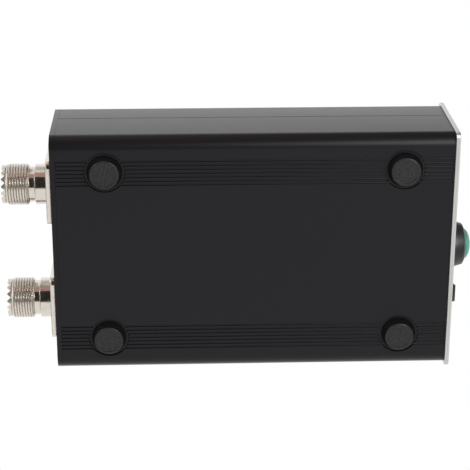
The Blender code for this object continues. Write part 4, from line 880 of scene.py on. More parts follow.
def grooves(case, half_width):
    """The groove band on the +X half of a broad face, as (x, depth) points with round lips and floors."""
    points = []
    first = half_width - case.groove_inset - case.groove_pitch * (case.grooves - 1) / 2
    for number in range(case.grooves):
        centre = first + number * case.groove_pitch
        for step in range(GROOVE_STEPS + 1):
            reach = 2 * step / GROOVE_STEPS - 1
            depth = case.groove_depth * (1 - reach ** 4) ** 0.5
            points.append((centre + reach * case.groove_width / 2, depth))
    return points


def channel_block(case, half_width):
    """The corner block with its slit screw channel, from its top inner corner down to the floor."""
    reach = case.channel_inset + case.channel_radius + case.channel_wall
    axis = (half_width - case.channel_inset, case.channel_inset)
    inner, half_slit = half_width - reach, case.channel_slit / 2
    mouth = 180 - math.degrees(math.asin(half_slit / case.channel_radius))
    bore = arc(axis, case.channel_radius, mouth, -mouth, 2 * CORNER_STEPS)
    return ([(half_width - case.wall, reach), (inner, reach), (inner, axis[1] + half_slit)]
            + bore + [(inner, axis[1] - half_slit), (inner, case.wall)])


def shell_outline(case, half_width, face_z, inward, outer_end, ledge, inner_end, rib):
    """A shell's whole section as (x, z): its wall ends at outer_end, and past the ledge at inner_end."""
    corner = (half_width - case.corner, case.corner)
    bevel = case.seam_chamfer
    step, wall = half_width - ledge, half_width - case.wall
    half = grooves(case, half_width) + arc(corner, case.corner, -90, 0, CORNER_STEPS)
    half += [(half_width, outer_end - bevel), (half_width - bevel, outer_end), (step, outer_end),
             (step, inner_end), (wall, inner_end)]
    half += rib + channel_block(case, half_width)
    whole = half + [(-x, depth) for x, depth in reversed(half)]
    return [(x, face_z + inward * depth) for x, depth in whole]


class TUNER_OT_shells(bpy.types.Operator):
    """Model the two halves of the extruded case"""
    bl_idname = "tuner.shells"
    bl_label = "Shells"

    def execute(self, context):
        case = context.scene.antenna_tuner.case
        front, rear = low("lower_shell").y, low("rear_plate").y - TOUCH_GAP
        half_width = high("lower_shell").x
        underside, top = low("lower_shell").z, high("upper_shell").z
        wall = half_width - case.wall
        rib_low = high("main_board").z + SEAT_GAP - underside
        rib = [(wall, rib_low + case.rib), (wall - case.rib_depth, rib_low + case.rib),
               (wall - case.rib_depth, rib_low), (wall, rib_low)]
        lower = along_y(shell_outline(case, half_width, underside, 1, case.seam, case.tongue,
                                      case.seam + case.tongue_height, rib), front, rear)
        seats = []
        chamfer = CUT_OVERRUN / 8
        rim = case.seat_radius + chamfer
        for foot in FEET:
            spot = middle(foot)
            seat = turned([(0, case.seat_depth), (case.seat_radius, case.seat_depth),
                           (case.seat_radius, chamfer), (rim, 0), (rim, -CUT_OVERRUN), (0, -CUT_OVERRUN)])
            seats.append(put(seat, (spot.x, spot.y, underside)))
        show("case_lower_shell", cut(lower, *seats), "black_anodised", stands_for=["lower_shell"])

        depth = top - underside - case.seam - case.seam_gap
        upper = along_y(shell_outline(case, half_width, top, -1, depth, case.tongue - case.seam_gap,
                                      depth - case.tongue_height, []), front, rear)
        show("case_upper_shell", upper, "black_anodised", stands_for=["upper_shell"])
        return {'FINISHED'}


class TUNER_OT_feet(bpy.types.Operator):
    """Model the four rubber feet"""
    bl_idname = "tuner.feet"
    bl_label = "Feet"

    def execute(self, context):
        case = context.scene.antenna_tuner.case
        underside, edge = low("lower_shell").z, case.foot_edge
        dish = edge / 4
        for foot in FEET:
            spot, base = middle(foot), high(foot).z
            profile = eased([(0, base), (case.foot_base, base), (case.foot_base, underside, edge / 2),
                             (case.foot_tip, 0, edge), (case.foot_tip - edge * 2, 0, dish),
                             (case.foot_tip - edge * 3, dish, dish), (0, dish)])
            shape = put(turned(profile), (spot.x, spot.y, 0))
            show(f"rubber_{foot}", shape, "black_rubber", stands_for=[foot])
        return {'FINISHED'}


class TUNER_OT_front_panel(bpy.types.Operator):
    """Model the front panel and the gasket behind it"""
    bl_idname = "tuner.front_panel"
    bl_label = "Front panel"

    def execute(self, context):
        plates = context.scene.antenna_tuner.plates
        controls = context.scene.antenna_tuner.controls
        lowest, highest = low("front_panel"), high("front_panel")
        width, height, axis_z = highest.x - lowest.x, highest.z - lowest.z, (highest.z + lowest.z) / 2
        front, back = lowest.y, highest.y
        line, edge = plates.panel_groove, plates.panel_edge
        half = (back - front) / 2
        layers = [(front, edge), (front + edge, 0), (front + half - line, 0), (front + half, line),
                  (front + half + line, 0), (back - edge, 0), (back, edge)]
        panel = layered(width, height, plates.panel_corner, (0, axis_z), layers)
        openings = self.openings(controls, axis_z)
        tools = [along_y(outline, front - CUT_OVERRUN, back + CUT_OVERRUN) for outline in openings]
        button = rod(controls.barrel_radius + SEAT_GAP, -CUT_OVERRUN, back - front + CUT_OVERRUN)
        tools.append(put(button, (middle("tune_button_body").x, back, axis_z), FRONTWARD))
        for x, z in screw_places("front_panel"):
            hole = countersink(plates.screw_head, plates.screw_hole, plates.screw_cone, back - front)
            tools.append(put(hole, (x, front, z), FRONTWARD))
        show("panel_front", cut(panel, *tools), "bare_aluminium", stands_for=["front_panel"])
        self.gasket(plates, width - 2 * plates.panel_overhang, height - 2 * plates.panel_overhang, axis_z)
        return {'FINISHED'}

    def openings(self, controls, axis_z):
        """The outlines of the window's and the switch's openings, a seat gap larger than what they hold."""
        window_low, window_high = low("display_window"), high("display_window")
        size, spot = window_high - window_low, (window_low + window_high) / 2
        margin = 2 * controls.window_rim
        pane = rounded_rectangle(size.x - margin + 2 * SEAT_GAP, size.z - margin + 2 * SEAT_GAP,
                                 controls.window_rim / 2, (spot.x, spot.z))
        body_width, body_height = switch_body(controls)
        body = rounded_rectangle(body_width + 2 * SEAT_GAP, body_height + 2 * SEAT_GAP, SEAT_GAP,
                                 (middle("power_switch_frame").x, axis_z), 2)
        return pane, body

    def gasket(self, plates, width, height, axis_z):
        """The gasket's band between the panel and the shells."""
        band = 2 * plates.gasket_band
        inner = rounded_rectangle(width - band, height - band, plates.panel_corner, (0, axis_z))
        outer = rounded_rectangle(width, height, plates.plate_corner, (0, axis_z))
        start, end = high("front_panel").y + TOUCH_GAP, low("lower_shell").y - TOUCH_GAP
        ring = cut(along_y(outer, start, end), along_y(inner, start - CUT_OVERRUN, end + CUT_OVERRUN))
        show("gasket_front", ring, "gasket", stands_for=["front_gasket"])


def screw_places(plate_name):
    """The (x, z) places of a plate's four screws."""
    return [(middle(f"{plate_name}_screw_{number}").x, middle(f"{plate_name}_screw_{number}").z)
            for number in range(1, 5)]


class TUNER_OT_rear_plate(bpy.types.Operator):
    """Model the rear plate"""
    bl_idname = "tuner.rear_plate"
    bl_label = "Rear plate"

    def execute(self, context):
        plates = context.scene.antenna_tuner.plates
        sockets = context.scene.antenna_tuner.sockets
        lowest, highest = low("rear_plate"), high("rear_plate")
        width, height, axis_z = highest.x - lowest.x, highest.z - lowest.z, (highest.z + lowest.z) / 2
        inner, outer, edge = lowest.y, highest.y, plates.plate_edge
        layers = [(inner, edge), (inner + edge, 0), (outer - edge, 0), (outer, edge)]
        shape = layered(width, height, plates.plate_corner, (0, axis_z), layers)
        thickness = outer - inner
        tools = []
        for socket in SOCKETS:
            x = middle(socket).x
            hub = rod(sockets.hub_radius + SEAT_GAP, -thickness - CUT_OVERRUN, CUT_OVERRUN, ROUND_STEPS)
            tools.append(put(hub, (x, outer, axis_z), REARWARD))
            for across, up in flange_screws(sockets):
                hole = rod(plates.screw_hole, -thickness - CUT_OVERRUN, CUT_OVERRUN)
                tools.append(put(hole, (x + across, outer, axis_z + up), REARWARD))
        for x, z in screw_places("rear_plate"):
            hole = countersink(plates.screw_head, plates.screw_hole, plates.screw_cone, thickness)
            tools.append(put(hole, (x, outer, z), REARWARD))
        mouth = charge_outline(-SEAT_GAP)
        tools.append(along_y(mouth, inner - CUT_OVERRUN, outer + CUT_OVERRUN))
        show("plate_rear", cut(shape, *tools), "black_anodised", stands_for=["rear_plate"])
        return {'FINISHED'}


def charge_outline(inset):
    """The charge socket's outline with round ends, drawn in by an inset."""
    lowest, highest = low("charge_socket"), high("charge_socket")
    size, spot = highest - lowest, (lowest + highest) / 2
    tall = size.z - 2 * inset
    return rounded_rectangle(size.x - 2 * inset, tall, tall / 2 - MERGE_DISTANCE * 5, (spot.x, spot.z))


def countersunk_screw(plates, head, length_of_screw, dome):
    """A countersunk screw with a cross recess, the rim of its head at height 0, pointing down Z."""
    shank, cone = plates.screw_shank, plates.screw_cone
    rows = int((length_of_screw - cone) / plates.screw_pitch * SCREW_THREAD_ROWS)
    crown = [(0, 0), (head, 0)]
    if dome:
        shoulder = (head * 0.55, dome * 0.9, head * 0.3)
        crown = eased([(0, dome), shoulder, (head, 0, dome / 2)])
    under_head = (head * 0.97, -dome / 4 - FINE_EASE)
    root = shank * 0.82
    screw = turned(crown + [under_head] + even_rows(shank, -cone, -length_of_screw, rows)
                   + [(0, -length_of_screw)], HOLE_STEPS)
    threaded(screw, -length_of_screw, -cone, root, shank, plates.screw_pitch, plates.screw_pitch)
    reach, width = plates.recess, plates.recess_width
    floor, over = dome - plates.recess_depth, dome + CUT_OVERRUN
    point, shoulder = dome - plates.recess_depth * 1.2, dome - plates.recess_depth * 0.7
    tools = [block((-reach, -width / 2, floor), (reach, width / 2, over)),
             block((-width / 2, -reach, floor), (width / 2, reach, over)),
             turned([(0, point), (width * 0.7, shoulder), (width * 1.2, over), (0, over)], RECESS_STEPS)]
    return cut(screw, *tools)


class TUNER_OT_plate_screws(bpy.types.Operator):
    """Model the screws of the front panel and the rear plate"""
    bl_idname = "tuner.plate_screws"
    bl_label = "Plate screws"

    def execute(self, context):
        plates = context.scene.antenna_tuner.plates
        reach = high("front_panel_screw_1").y - low("front_panel").y
        screw = countersunk_screw(plates, plates.screw_head, reach, plates.screw_dome)
        for plate_name, y, turn in (("front_panel", low("front_panel").y, FRONTWARD),
                                    ("rear_plate", high("rear_plate").y, REARWARD)):
            for number, (x, z) in enumerate(screw_places(plate_name), 1):
                twist = Matrix.Rotation(math.radians(PLATE_SCREW_TWIST * number), 4, 'Z')
                shape = copied(screw, (x, y, z), turn @ twist)
                show(f"{plate_name}_fastener_{number}", shape, "black_screw",
                     stands_for=[f"{plate_name}_screw_{number}"])
        screw.free()
        return {'FINISHED'}


SOCKETS = ["antenna_socket", "transmitter_socket"]
CONTACT_SLOT_ANGLES = (20, 110)


def flange_screws(sockets):
    """The places of a flange's four screws about its middle."""
    half = sockets.screw_spacing / 2
    return [(side * half, level * half) for side in (-1, 1) for level in (-1, 1)]


def socket_seat(node, sockets):
    """The middle of the flange's back face."""
    return Vector((middle(node).x, low(node).y + sockets.hub, middle(node).z))


def socket_barrel(sockets, tip):
    """The turned barrel from its hub to its toothed rim, with a helical thread."""
    collar_end = sockets.flange + sockets.collar
    neck_end = collar_end + sockets.neck
    thread_end = neck_end + sockets.turns * sockets.pitch
    bevel, bore, root = sockets.flange_edge, sockets.bore, sockets.root
    hub, collar, neck, lead_in = (sockets.hub_radius, sockets.collar_radius, sockets.neck_radius,
                                  sockets.lead_in)
    before = [(bore, -sockets.hub), (hub, -sockets.hub, bevel), (hub, sockets.flange / 2),
              (collar, sockets.flange / 2), (collar, collar_end - bevel), (collar - bevel, collar_end),
              (neck, collar_end, bevel), (neck, neck_end - bevel, bevel), (root - bevel, neck_end - bevel)]
    after = [(lead_in - bevel, thread_end + bevel), (lead_in, thread_end + 2 * bevel), (lead_in, tip),
             (bore + bevel, tip), (bore, tip - bevel)]
    rows = even_rows(root, neck_end, thread_end, sockets.turns * SOCKET_THREAD_ROWS)
    barrel = turned(eased(before + rows + after, closed=True), sockets.teeth * TOOTH_STEPS, closed=True)
    threaded(barrel, neck_end, thread_end, root, sockets.crest, sockets.pitch,
             sockets.pitch * SOCKET_THREAD_FADE, SOCKET_THREAD_FLANK)
    for corner in barrel.verts:
        if corner.co.z > tip - bevel * 1.5:
            turn = math.atan2(corner.co.y, corner.co.x) / math.tau * sockets.teeth
            corner.co.z -= sockets.tooth * 2 * abs(turn % 1.0 - 0.5)
    return barrel


def is_level(edge):
    """Whether both ends of an edge are at the same height."""
    return edge.verts[0].co.z == edge.verts[1].co.z


class TUNER_OT_sockets(bpy.types.Operator):
    """Model the coaxial sockets with their insulators and contacts"""
    bl_idname = "tuner.sockets"
    bl_label = "Sockets"

    def execute(self, context):
        sockets = context.scene.antenna_tuner.sockets
        plates = context.scene.antenna_tuner.plates
        for node in SOCKETS:
            seat = socket_seat(node, sockets)
            tip = high(node).y - seat.y
            side = high(node).x - low(node).x
            flange = plate(rounded_rectangle(side, side, sockets.flange_corner), 0, sockets.flange)
            soften(flange, sockets.flange_edge, only=is_level)
            opening = rod((sockets.bore + sockets.hub_radius) / 2, -CUT_OVERRUN,
                          sockets.flange + CUT_OVERRUN, ROUND_STEPS)
            steps = [('DIFFERENCE', opening), ('UNION', socket_barrel(sockets, tip))]
            for across, up in flange_screws(sockets):
                hole = countersink(sockets.screw_head, plates.screw_hole, plates.screw_cone, sockets.flange)
                steps.append(('DIFFERENCE', put(hole, (across, up, sockets.flange))))
            show(f"{node}_shell", put(combine(flange, *steps), seat, REARWARD), "nickel", stands_for=[node])
            self.insulate(node, sockets, seat)
            self.contact(node, sockets, seat)
        return {'FINISHED'}

    def insulate(self, node, sockets, seat):
        """The white insulator with a ring moulded in its face and a small collar round the contact."""
        name = f"{node}_insulator"
        face, tail = high(name).y - seat.y, low(name).y - seat.y
        outer = high(name).x - seat.x
        inner = sockets.contact_radius + SEAT_GAP
        dish, edge = sockets.insulator_dish, sockets.flange_edge
        third = (outer - inner) / 3
        collar, ring = inner + third, inner + third * 2
        slant = third * 0.2
        profile = eased([(outer, face, edge), (outer, tail, edge), (inner, tail), (inner, face, edge),
                         (collar - slant, face, edge), (collar, face - dish, edge),
                         (ring, face - dish, edge), (ring + slant, face, edge)], closed=True)
        shape = put(turned(profile, closed=True), seat, REARWARD)
        show(f"{node}_dielectric", shape, "insulator", stands_for=[name])

    def contact(self, node, sockets, seat):
        """The slotted centre contact with its solder cup."""
        name = f"{node}_contact"
        tip, end = high(name).y - seat.y, low(name).y - seat.y
        edge, radius, bore = sockets.flange_edge, sockets.contact_radius, sockets.contact_bore
        cup, slot = sockets.cup_radius, sockets.contact_slot
        floor, cup_floor = tip - sockets.contact_depth, end + sockets.cup_depth
        profile = eased([(0, floor), (bore, floor), (bore, tip - edge), (bore + edge, tip),
                         (radius, tip, edge), (radius, end, edge), (cup, end), (cup, cup_floor),
                         (0, cup_floor)])
        tools = []
        for angle in CONTACT_SLOT_ANGLES:
            slit = block((-radius * 2, -slot / 2, floor + edge * 4),
                         (radius * 2, slot / 2, tip + CUT_OVERRUN))
            tools.append(put(slit, turn=Matrix.Rotation(math.radians(angle), 4, 'Z')))
        tools.append(block((0, -cup * 0.7, end - CUT_OVERRUN), (radius * 2, cup * 0.7, cup_floor - edge)))
        shape = put(cut(turned(profile, ROUND_STEPS), *tools), seat, REARWARD)
        show(f"{node}_pin_contact", shape, "brass_contact", stands_for=[name])


class TUNER_OT_socket_screws(bpy.types.Operator):
    """Model the screws of both flanges"""
    bl_idname = "tuner.socket_screws"
    bl_label = "Socket screws"

    def execute(self, context):
        plates = context.scene.antenna_tuner.plates
        sockets = context.scene.antenna_tuner.sockets
        screw = countersunk_screw(plates, sockets.screw_head, sockets.screw_length, 0)
        for node in SOCKETS:
            for number in range(1, 5):
                spot = middle(f"{node}_screw_{number}")
                twist = Matrix.Rotation(math.radians(SOCKET_SCREW_TWIST * number), 4, 'Z')
                at = (spot.x, high(f"{node}_screw_{number}").y, spot.z)
                shape = copied(screw, at, REARWARD @ twist)
                show(f"{node}_fastener_{number}", shape, "zinc_steel", stands_for=[f"{node}_screw_{number}"])
        screw.free()
        return {'FINISHED'}


class TUNER_OT_charge_socket(bpy.types.Operator):
    """Model the charge socket between the coaxial sockets"""
    bl_idname = "tuner.charge_socket"
    bl_label = "Charge socket"

    def execute(self, context):
        sockets = context.scene.antenna_tuner.sockets
        lowest, highest = low("charge_socket"), high("charge_socket")
        spot = (lowest + highest) / 2
        lip = sockets.charge_wall / 3
        shape = stacked([(y, charge_outline(inset)) for y, inset in (
            (lowest.y, lip), (lowest.y + lip, 0), (highest.y - lip, 0), (highest.y, lip))])
        half_width, half_height = sockets.tongue_width / 2, sockets.tongue / 2
        tongue = block((spot.x - half_width, lowest.y + sockets.charge_back / 2, spot.z - half_height),
                       (spot.x + half_width, highest.y - sockets.tongue_recess, spot.z + half_height))
        soften(tongue, sockets.tongue / 6)
        mouth = along_y(charge_outline(sockets.charge_wall), lowest.y + sockets.charge_back,
                        highest.y + CUT_OVERRUN)
        show("charge_socket_shell", combine(shape, ('DIFFERENCE', mouth), ('UNION', tongue)), "zinc_steel",
             stands_for=["charge_socket"])
        self.pads(sockets, spot, highest.y)
        return {'FINISHED'}

    def pads(self, sockets, spot, mouth):
        """Gold coloured contact pads on both faces of the tongue."""
        pitch, half = sockets.tongue_width / (sockets.pads + 1), sockets.pad / 2
        half_width = pitch * 0.3
        back, front = mouth - sockets.tongue_recess * 3, mouth - sockets.tongue_recess * 1.3
        pads = []
        for number in range(sockets.pads):
            x = spot.x + (number - (sockets.pads - 1) / 2) * pitch
            for side in (-1, 1):
                z = spot.z + side * sockets.tongue / 2
                pads.append(block((x - half_width, back, z - half), (x + half_width, front, z + half)))
        show("charge_socket_contacts", gathered(pads), "brass_contact")


def switch_body(controls):
    """Outer width and height of the switch's body behind the panel."""
    width = controls.rocker_width + 2 * (SEAT_GAP + controls.switch_wall)
    height = 2 * (controls.rocker_end + SEAT_GAP + controls.switch_wall)
    return width, height


def terminal(controls, offset, body_end):
    """A flat terminal blade with a hole, pointing down Z."""
    half, thickness, tip = controls.blade_width / 2, controls.blade, body_end - controls.blade_length
    outline = eased([(-half, body_end + thickness), (-half, tip, half), (half, tip, half),
                     (half, body_end + thickness)])
    blade = slab([(x, offset - thickness / 2, z) for x, z in outline], (0, thickness, 0))
    hole_height = body_end - controls.blade_length * 0.72
    hole = rod(half / 2, -CUT_OVERRUN, CUT_OVERRUN, HOLE_STEPS // 2)
    return cut(blade, put(hole, (0, offset, hole_height), FRONTWARD))


class TUNER_OT_tune_button(bpy.types.Operator):
    """Model the push button: bezel and barrel, cap, spring and nut"""
    bl_idname = "tuner.tune_button"
    bl_label = "Tune button"

    def execute(self, context):
        controls = context.scene.antenna_tuner.controls
        seat = Vector((middle("tune_button_body").x, low("front_panel").y, middle("tune_button_body").z))
        rim = SEAT_GAP + controls.bezel_height
        self.bezel(controls, seat, rim)
        self.cap(controls, seat, rim)
        self.spring(controls, seat)
        self.nut(controls, seat)
        return {'FINISHED'}

    def bezel(self, controls, seat, rim):
        """The black conical bezel with its threaded barrel and two terminals."""
        cap_bore = controls.cap_radius + SEAT_GAP
        chamber_top = rim - controls.cap_skirt - controls.cap_travel - SEAT_GAP
        chamber_floor = chamber_top - controls.chamber_depth
        bore_floor = chamber_floor - controls.stem_bore_depth
        stem_bore = controls.stem_radius + SEAT_GAP
        bottom, top, ease = -controls.barrel_depth, -BUTTON_THREAD_START, controls.bezel_ease
        radius, chamber = controls.barrel_radius, controls.chamber_radius
        turns = (controls.barrel_depth - BUTTON_THREAD_SHORTFALL) / controls.barrel_pitch
        rows = int(turns * BUTTON_THREAD_ROWS)
        profile = eased([(0, bottom)] + even_rows(radius, bottom, top, rows) + [
            (radius, SEAT_GAP), (controls.bezel_base, SEAT_GAP, SMALL_EASE),
            (controls.bezel_waist, SEAT_GAP + controls.waist_height, ease),
            (controls.bezel_shoulder, SEAT_GAP + controls.shoulder_height, ease),
            (controls.bezel_rim, rim, SMALL_EASE), (cap_bore, rim, FINE_EASE), (cap_bore, chamber_top),
            (chamber, chamber_top), (chamber, chamber_floor), (stem_bore, chamber_floor),
            (stem_bore, bore_floor), (0, bore_floor)])
        shape = threaded(turned(profile), bottom, top, radius - controls.barrel_thread, radius,
                         controls.barrel_pitch, controls.barrel_pitch / 2)
        blades = [terminal(controls, side * controls.button_blade, bottom) for side in (-1, 1)]
        show("tune_button_bezel", put(join(shape, *blades), seat, FRONTWARD), "black_plastic",
             stands_for=["tune_button_body"])

    def cap(self, controls, seat, rim):
        """The green domed cap with its skirt and stem."""
        radius, stem_radius = controls.cap_radius, controls.stem_radius
        dome = []
        for step in range(DOME_STEPS + 1):
            angle = math.radians(90) * step / DOME_STEPS
            dome.append((radius * math.sin(angle), rim + controls.cap_dome * math.cos(angle)))
        skirt = rim - controls.cap_skirt
        stem = skirt - controls.stem_length
        profile = eased(dome + [(radius, skirt, CAP_EASE), (stem_radius, skirt, CAP_EASE),
                                (stem_radius, stem, CAP_EASE), (0, stem)])
        show("tune_button_green_cap", put(turned(profile), seat, FRONTWARD), "green_cap", "tune_button",
             ["tune_button_cap"])

    def spring(self, controls, seat):
        """The return spring, drawn at its resting length; nothing here shortens it as the cap goes in."""
        lowest, highest = low("tune_button_spring"), high("tune_button_spring")
        wire, radius = controls.spring_wire, controls.spring_radius
        start, end = highest.y - wire, lowest.y + wire
        last = SPRING_STEPS * controls.spring_turns
        route = []
        for step in range(last + 1):
            angle = math.tau * controls.spring_turns * step / last
            y = start + (end - start) * step / last
            route.append(Vector((seat.x + radius * math.cos(angle), y, seat.z + radius * math.sin(angle))))
        spring = show("tune_button_coil", wire_tube(route, wire, SPRING_WIRE_SIDES), "zinc_steel",
                      stands_for=["tune_button_spring"])
        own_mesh(spring)

    def nut(self, controls, seat):
        """The hexagonal nut behind the panel, chamfered on both faces."""
        lowest, highest = low("tune_button_nut"), high("tune_button_nut")
        height = highest.y - lowest.y
        radius = (highest.x - lowest.x) / 2
        nut = turned([(0, 0), (radius, 0), (radius, -height), (0, -height)], HEXAGON_SIDES)
        flat = radius * math.cos(math.pi / HEXAGON_SIDES)
        slope = (radius - flat) * 0.6
        drop, outer = slope * 1.4, radius * 1.5
        over, under = CUT_OVERRUN, -height - CUT_OVERRUN
        trim = turned([(flat, over), (flat, 0), (radius + slope, -drop), (radius + slope, drop - height),
                       (flat, -height), (flat, under), (outer, under), (outer, over)],
                      ROUND_STEPS, closed=True)
        bore = rod(controls.barrel_radius + SEAT_GAP, under, over, ROUND_STEPS)
        shape = put(cut(nut, trim, bore), (seat.x, lowest.y, seat.z), FRONTWARD)
        show("tune_button_hex_nut", shape, "zinc_steel", stands_for=["tune_button_nut"])


def wire_tube(route, radius, sides):
    """A round wire along a route, as a closed shape."""
    shape = bmesh.new()
    rings = []
    for index, spot in enumerate(route):
        heading = (route[min(index + 1, len(route) - 1)] - route[max(index - 1, 0)]).normalized()
        turn = heading.to_track_quat('Z', 'Y').to_matrix().to_4x4()
        made = bmesh.ops.create_circle(shape, cap_ends=False, radius=radius, segments=sides,
                                       matrix=Matrix.Translation(spot) @ turn)
        rings.append(list({edge for corner in made["verts"] for edge in corner.link_edges}))
    skinned(shape, rings)
    return shape


# The rocker's printed marks: half their thickness, half the bar's length, the ring's radius, and the
# share of the way from the rocker's middle to its end
MARK_INK = 0.00003
MARK_BAR = 0.0011
MARK_RING = 0.0009
MARK_PLACE = 0.58


class TUNER_OT_power_switch(bpy.types.Operator):
    """Model the rocker switch: frame, rocker and its marks"""
    bl_idname = "tuner.power_switch"
    bl_label = "Power switch"

    def execute(self, context):
        controls = context.scene.antenna_tuner.controls
        front = low("front_panel").y
        axis_z = low("power_switch_frame").z / 2 + high("power_switch_frame").z / 2
        seat = Vector((middle("power_switch_frame").x, front, axis_z))
        pivot = seat - Vector((0, SEAT_GAP + controls.switch_thickness - controls.pivot_depth, 0))
        self.frame_of_switch(controls, seat)
        self.rocker(controls, pivot)
        return {'FINISHED'}

    def frame_of_switch(self, controls, seat):
        """The bezel and the hollow body with its terminals, a flared mouth and a bore for the pin."""
        face = SEAT_GAP + controls.switch_thickness
        size = high("power_switch_frame") - low("power_switch_frame")
        body_width, body_height = switch_body(controls)
        bezel = plate(rounded_rectangle(size.x, size.z, controls.switch_thickness), SEAT_GAP, face)

        def on_face(edge):
            return min(corner.co.z for corner in edge.verts) > face - MERGE_DISTANCE

        soften(bezel, SWITCH_EASE, steps=3, only=on_face)
        half_x, half_y = body_width / 2, body_height / 2
        body = block((-half_x, -half_y, -controls.switch_depth),
                     (half_x, half_y, face - controls.switch_thickness / 2))
        soften(body, SMALL_EASE)
        inner_x, inner_y = half_x - controls.switch_wall, half_y - controls.switch_wall
        cavity = block((-inner_x, -inner_y, controls.switch_floor - controls.switch_depth),
                       (inner_x, inner_y, face + CUT_OVERRUN))
        lip = SMALL_EASE
        flare = stacked([
            (level, rounded_rectangle(2 * (inner_x + out), 2 * (inner_y + out), lip / 2, steps=2))
            for level, out in ((face - lip, 0), (face + lip, 2 * lip))])
        put(flare, turn=SWAP_Y_AND_Z)
        bmesh.ops.recalc_face_normals(flare, faces=flare.faces)
        reach = controls.rocker_width / 2 + controls.pin_reach + SEAT_GAP
        pin_hole = put(rod(controls.pin_radius + SEAT_GAP / 2, -reach, reach),
                       (0, 0, face - controls.pivot_depth), ONTO_X)
        blades = [('UNION', terminal(controls, side * controls.switch_blade, -controls.switch_depth))
                  for side in (-1, 1)]
        shape = combine(bezel, ('UNION', body), ('DIFFERENCE', cavity), ('DIFFERENCE', flare),
                        ('DIFFERENCE', pin_hole), *blades)
        show("power_switch_housing", put(shape, seat, FRONTWARD), "black_plastic",
             stands_for=["power_switch_frame"])

    def rocker(self, controls, pivot):
        """The rocker about its pin, its upper end pressed, with a bar and a ring as its marks."""
        half_end = math.sqrt(controls.rocker_end ** 2 - controls.rocker_rise ** 2)
        first = math.degrees(math.atan2(controls.rocker_rise, half_end))
        upper_end = arc((0, 0), controls.rocker_end, first, 0, ROCKER_END_STEPS)
        upper_end[0] = (*upper_end[0], ROCKER_END_EASE)
        keel = [(controls.keel_half, -controls.keel_depth, KEEL_EASE)]
        half = [(0, controls.rocker_valley, VALLEY_EASE)] + upper_end + keel
        mirrored = [(-point[0], *point[1:]) for point in reversed(half[1:])]
        outline = eased(half + mirrored, closed=True)
        width = controls.rocker_width
        body = slab([(-width / 2, -out, up) for up, out in outline], (width, 0, 0))

        def on_side(edge):
            return any(all(abs(corner.co.x - side) < MERGE_DISTANCE for corner in edge.verts)
                       for side in (-width / 2, width / 2))

        soften(body, controls.rocker_edge, steps=3, least_degrees=50, only=on_side)
        reach, pin_radius = width / 2 + controls.pin_reach, controls.pin_radius
        profile = eased([(0, reach), (pin_radius, reach, FINE_EASE), (pin_radius, -reach, FINE_EASE),
                         (0, -reach)])
        pin = put(turned(profile, HOLE_STEPS), turn=ONTO_X)
        tilt = Matrix.Rotation(-controls.rocker_tilt, 4, 'X')
        show("power_switch_key", put(join(body, pin), pivot, tilt), "gloss_black", "power_rocker",
             ["power_switch_rocker"])
        self.marks(controls, pivot, tilt, half_end)

    def marks(self, controls, pivot, tilt, half_end):
        """A bar at the lower end and a ring at the upper one, printed on the rocker's faces."""
        rise = controls.rocker_rise - controls.rocker_valley
        spot, out = half_end * MARK_PLACE, controls.rocker_valley + rise * MARK_PLACE
        slope = math.atan(rise / half_end)
        half_bar, inner = MARK_BAR / 7, MARK_RING * 0.74
        bar = block((-half_bar, -MARK_INK, -MARK_BAR), (half_bar, MARK_INK, MARK_BAR))
        ring = turned([(MARK_RING, -MARK_INK), (MARK_RING, MARK_INK), (inner, MARK_INK), (inner, -MARK_INK)],
                      HOLE_STEPS, closed=True)
        put(ring, turn=FRONTWARD)
        printed = gathered(put(shape, (0, -out, level * spot), Matrix.Rotation(level * slope, 4, 'X'))
                           for shape, level in ((bar, -1), (ring, 1)))
        show("power_switch_marks", put(printed, pivot, tilt), "marks", "power_rocker")


# The screen behind the window: its share of the pane, its corner, and its rim as (height, inset) layers
SCREEN_SHARE = 0.98
SCREEN_CORNER = 0.0004
SCREEN_LAYERS = ((0.00002, 0), (0.00012, 0), (0.00016, 0.00006))
SEGMENT_HEIGHT = 0.0002
SEGMENT_DEPTH = 0.00002

# The lit picture, from the screen's middle and in shares of its width and height
PICTURE_LEFT = 0.44
PICTURE_TOP = 0.36
DIGIT_WIDTH = 0.085
DIGIT_HEIGHT = 0.34
DIGIT_STROKE = 0.018
SMALL_DIGITS_START = 0.10
BAR_TICKS = 24
BAR_ROWS = ((0.16, 17), (0.35, 5))
BAR_STEP = 0.0365
BAR_WIDTH = 0.022
BAR_LIT = 0.13
BAR_UNLIT = 0.025

# The digits' steps and the point's place in digit widths, and the small digits' shares of the large ones
DIGIT_STEP = 1.9
POINT_PLACE = 1.32
SMALL_DIGIT = 0.62
SMALL_STROKE = 0.75
SMALL_STEP = 1.75
SEGMENT_GAP = 0.18


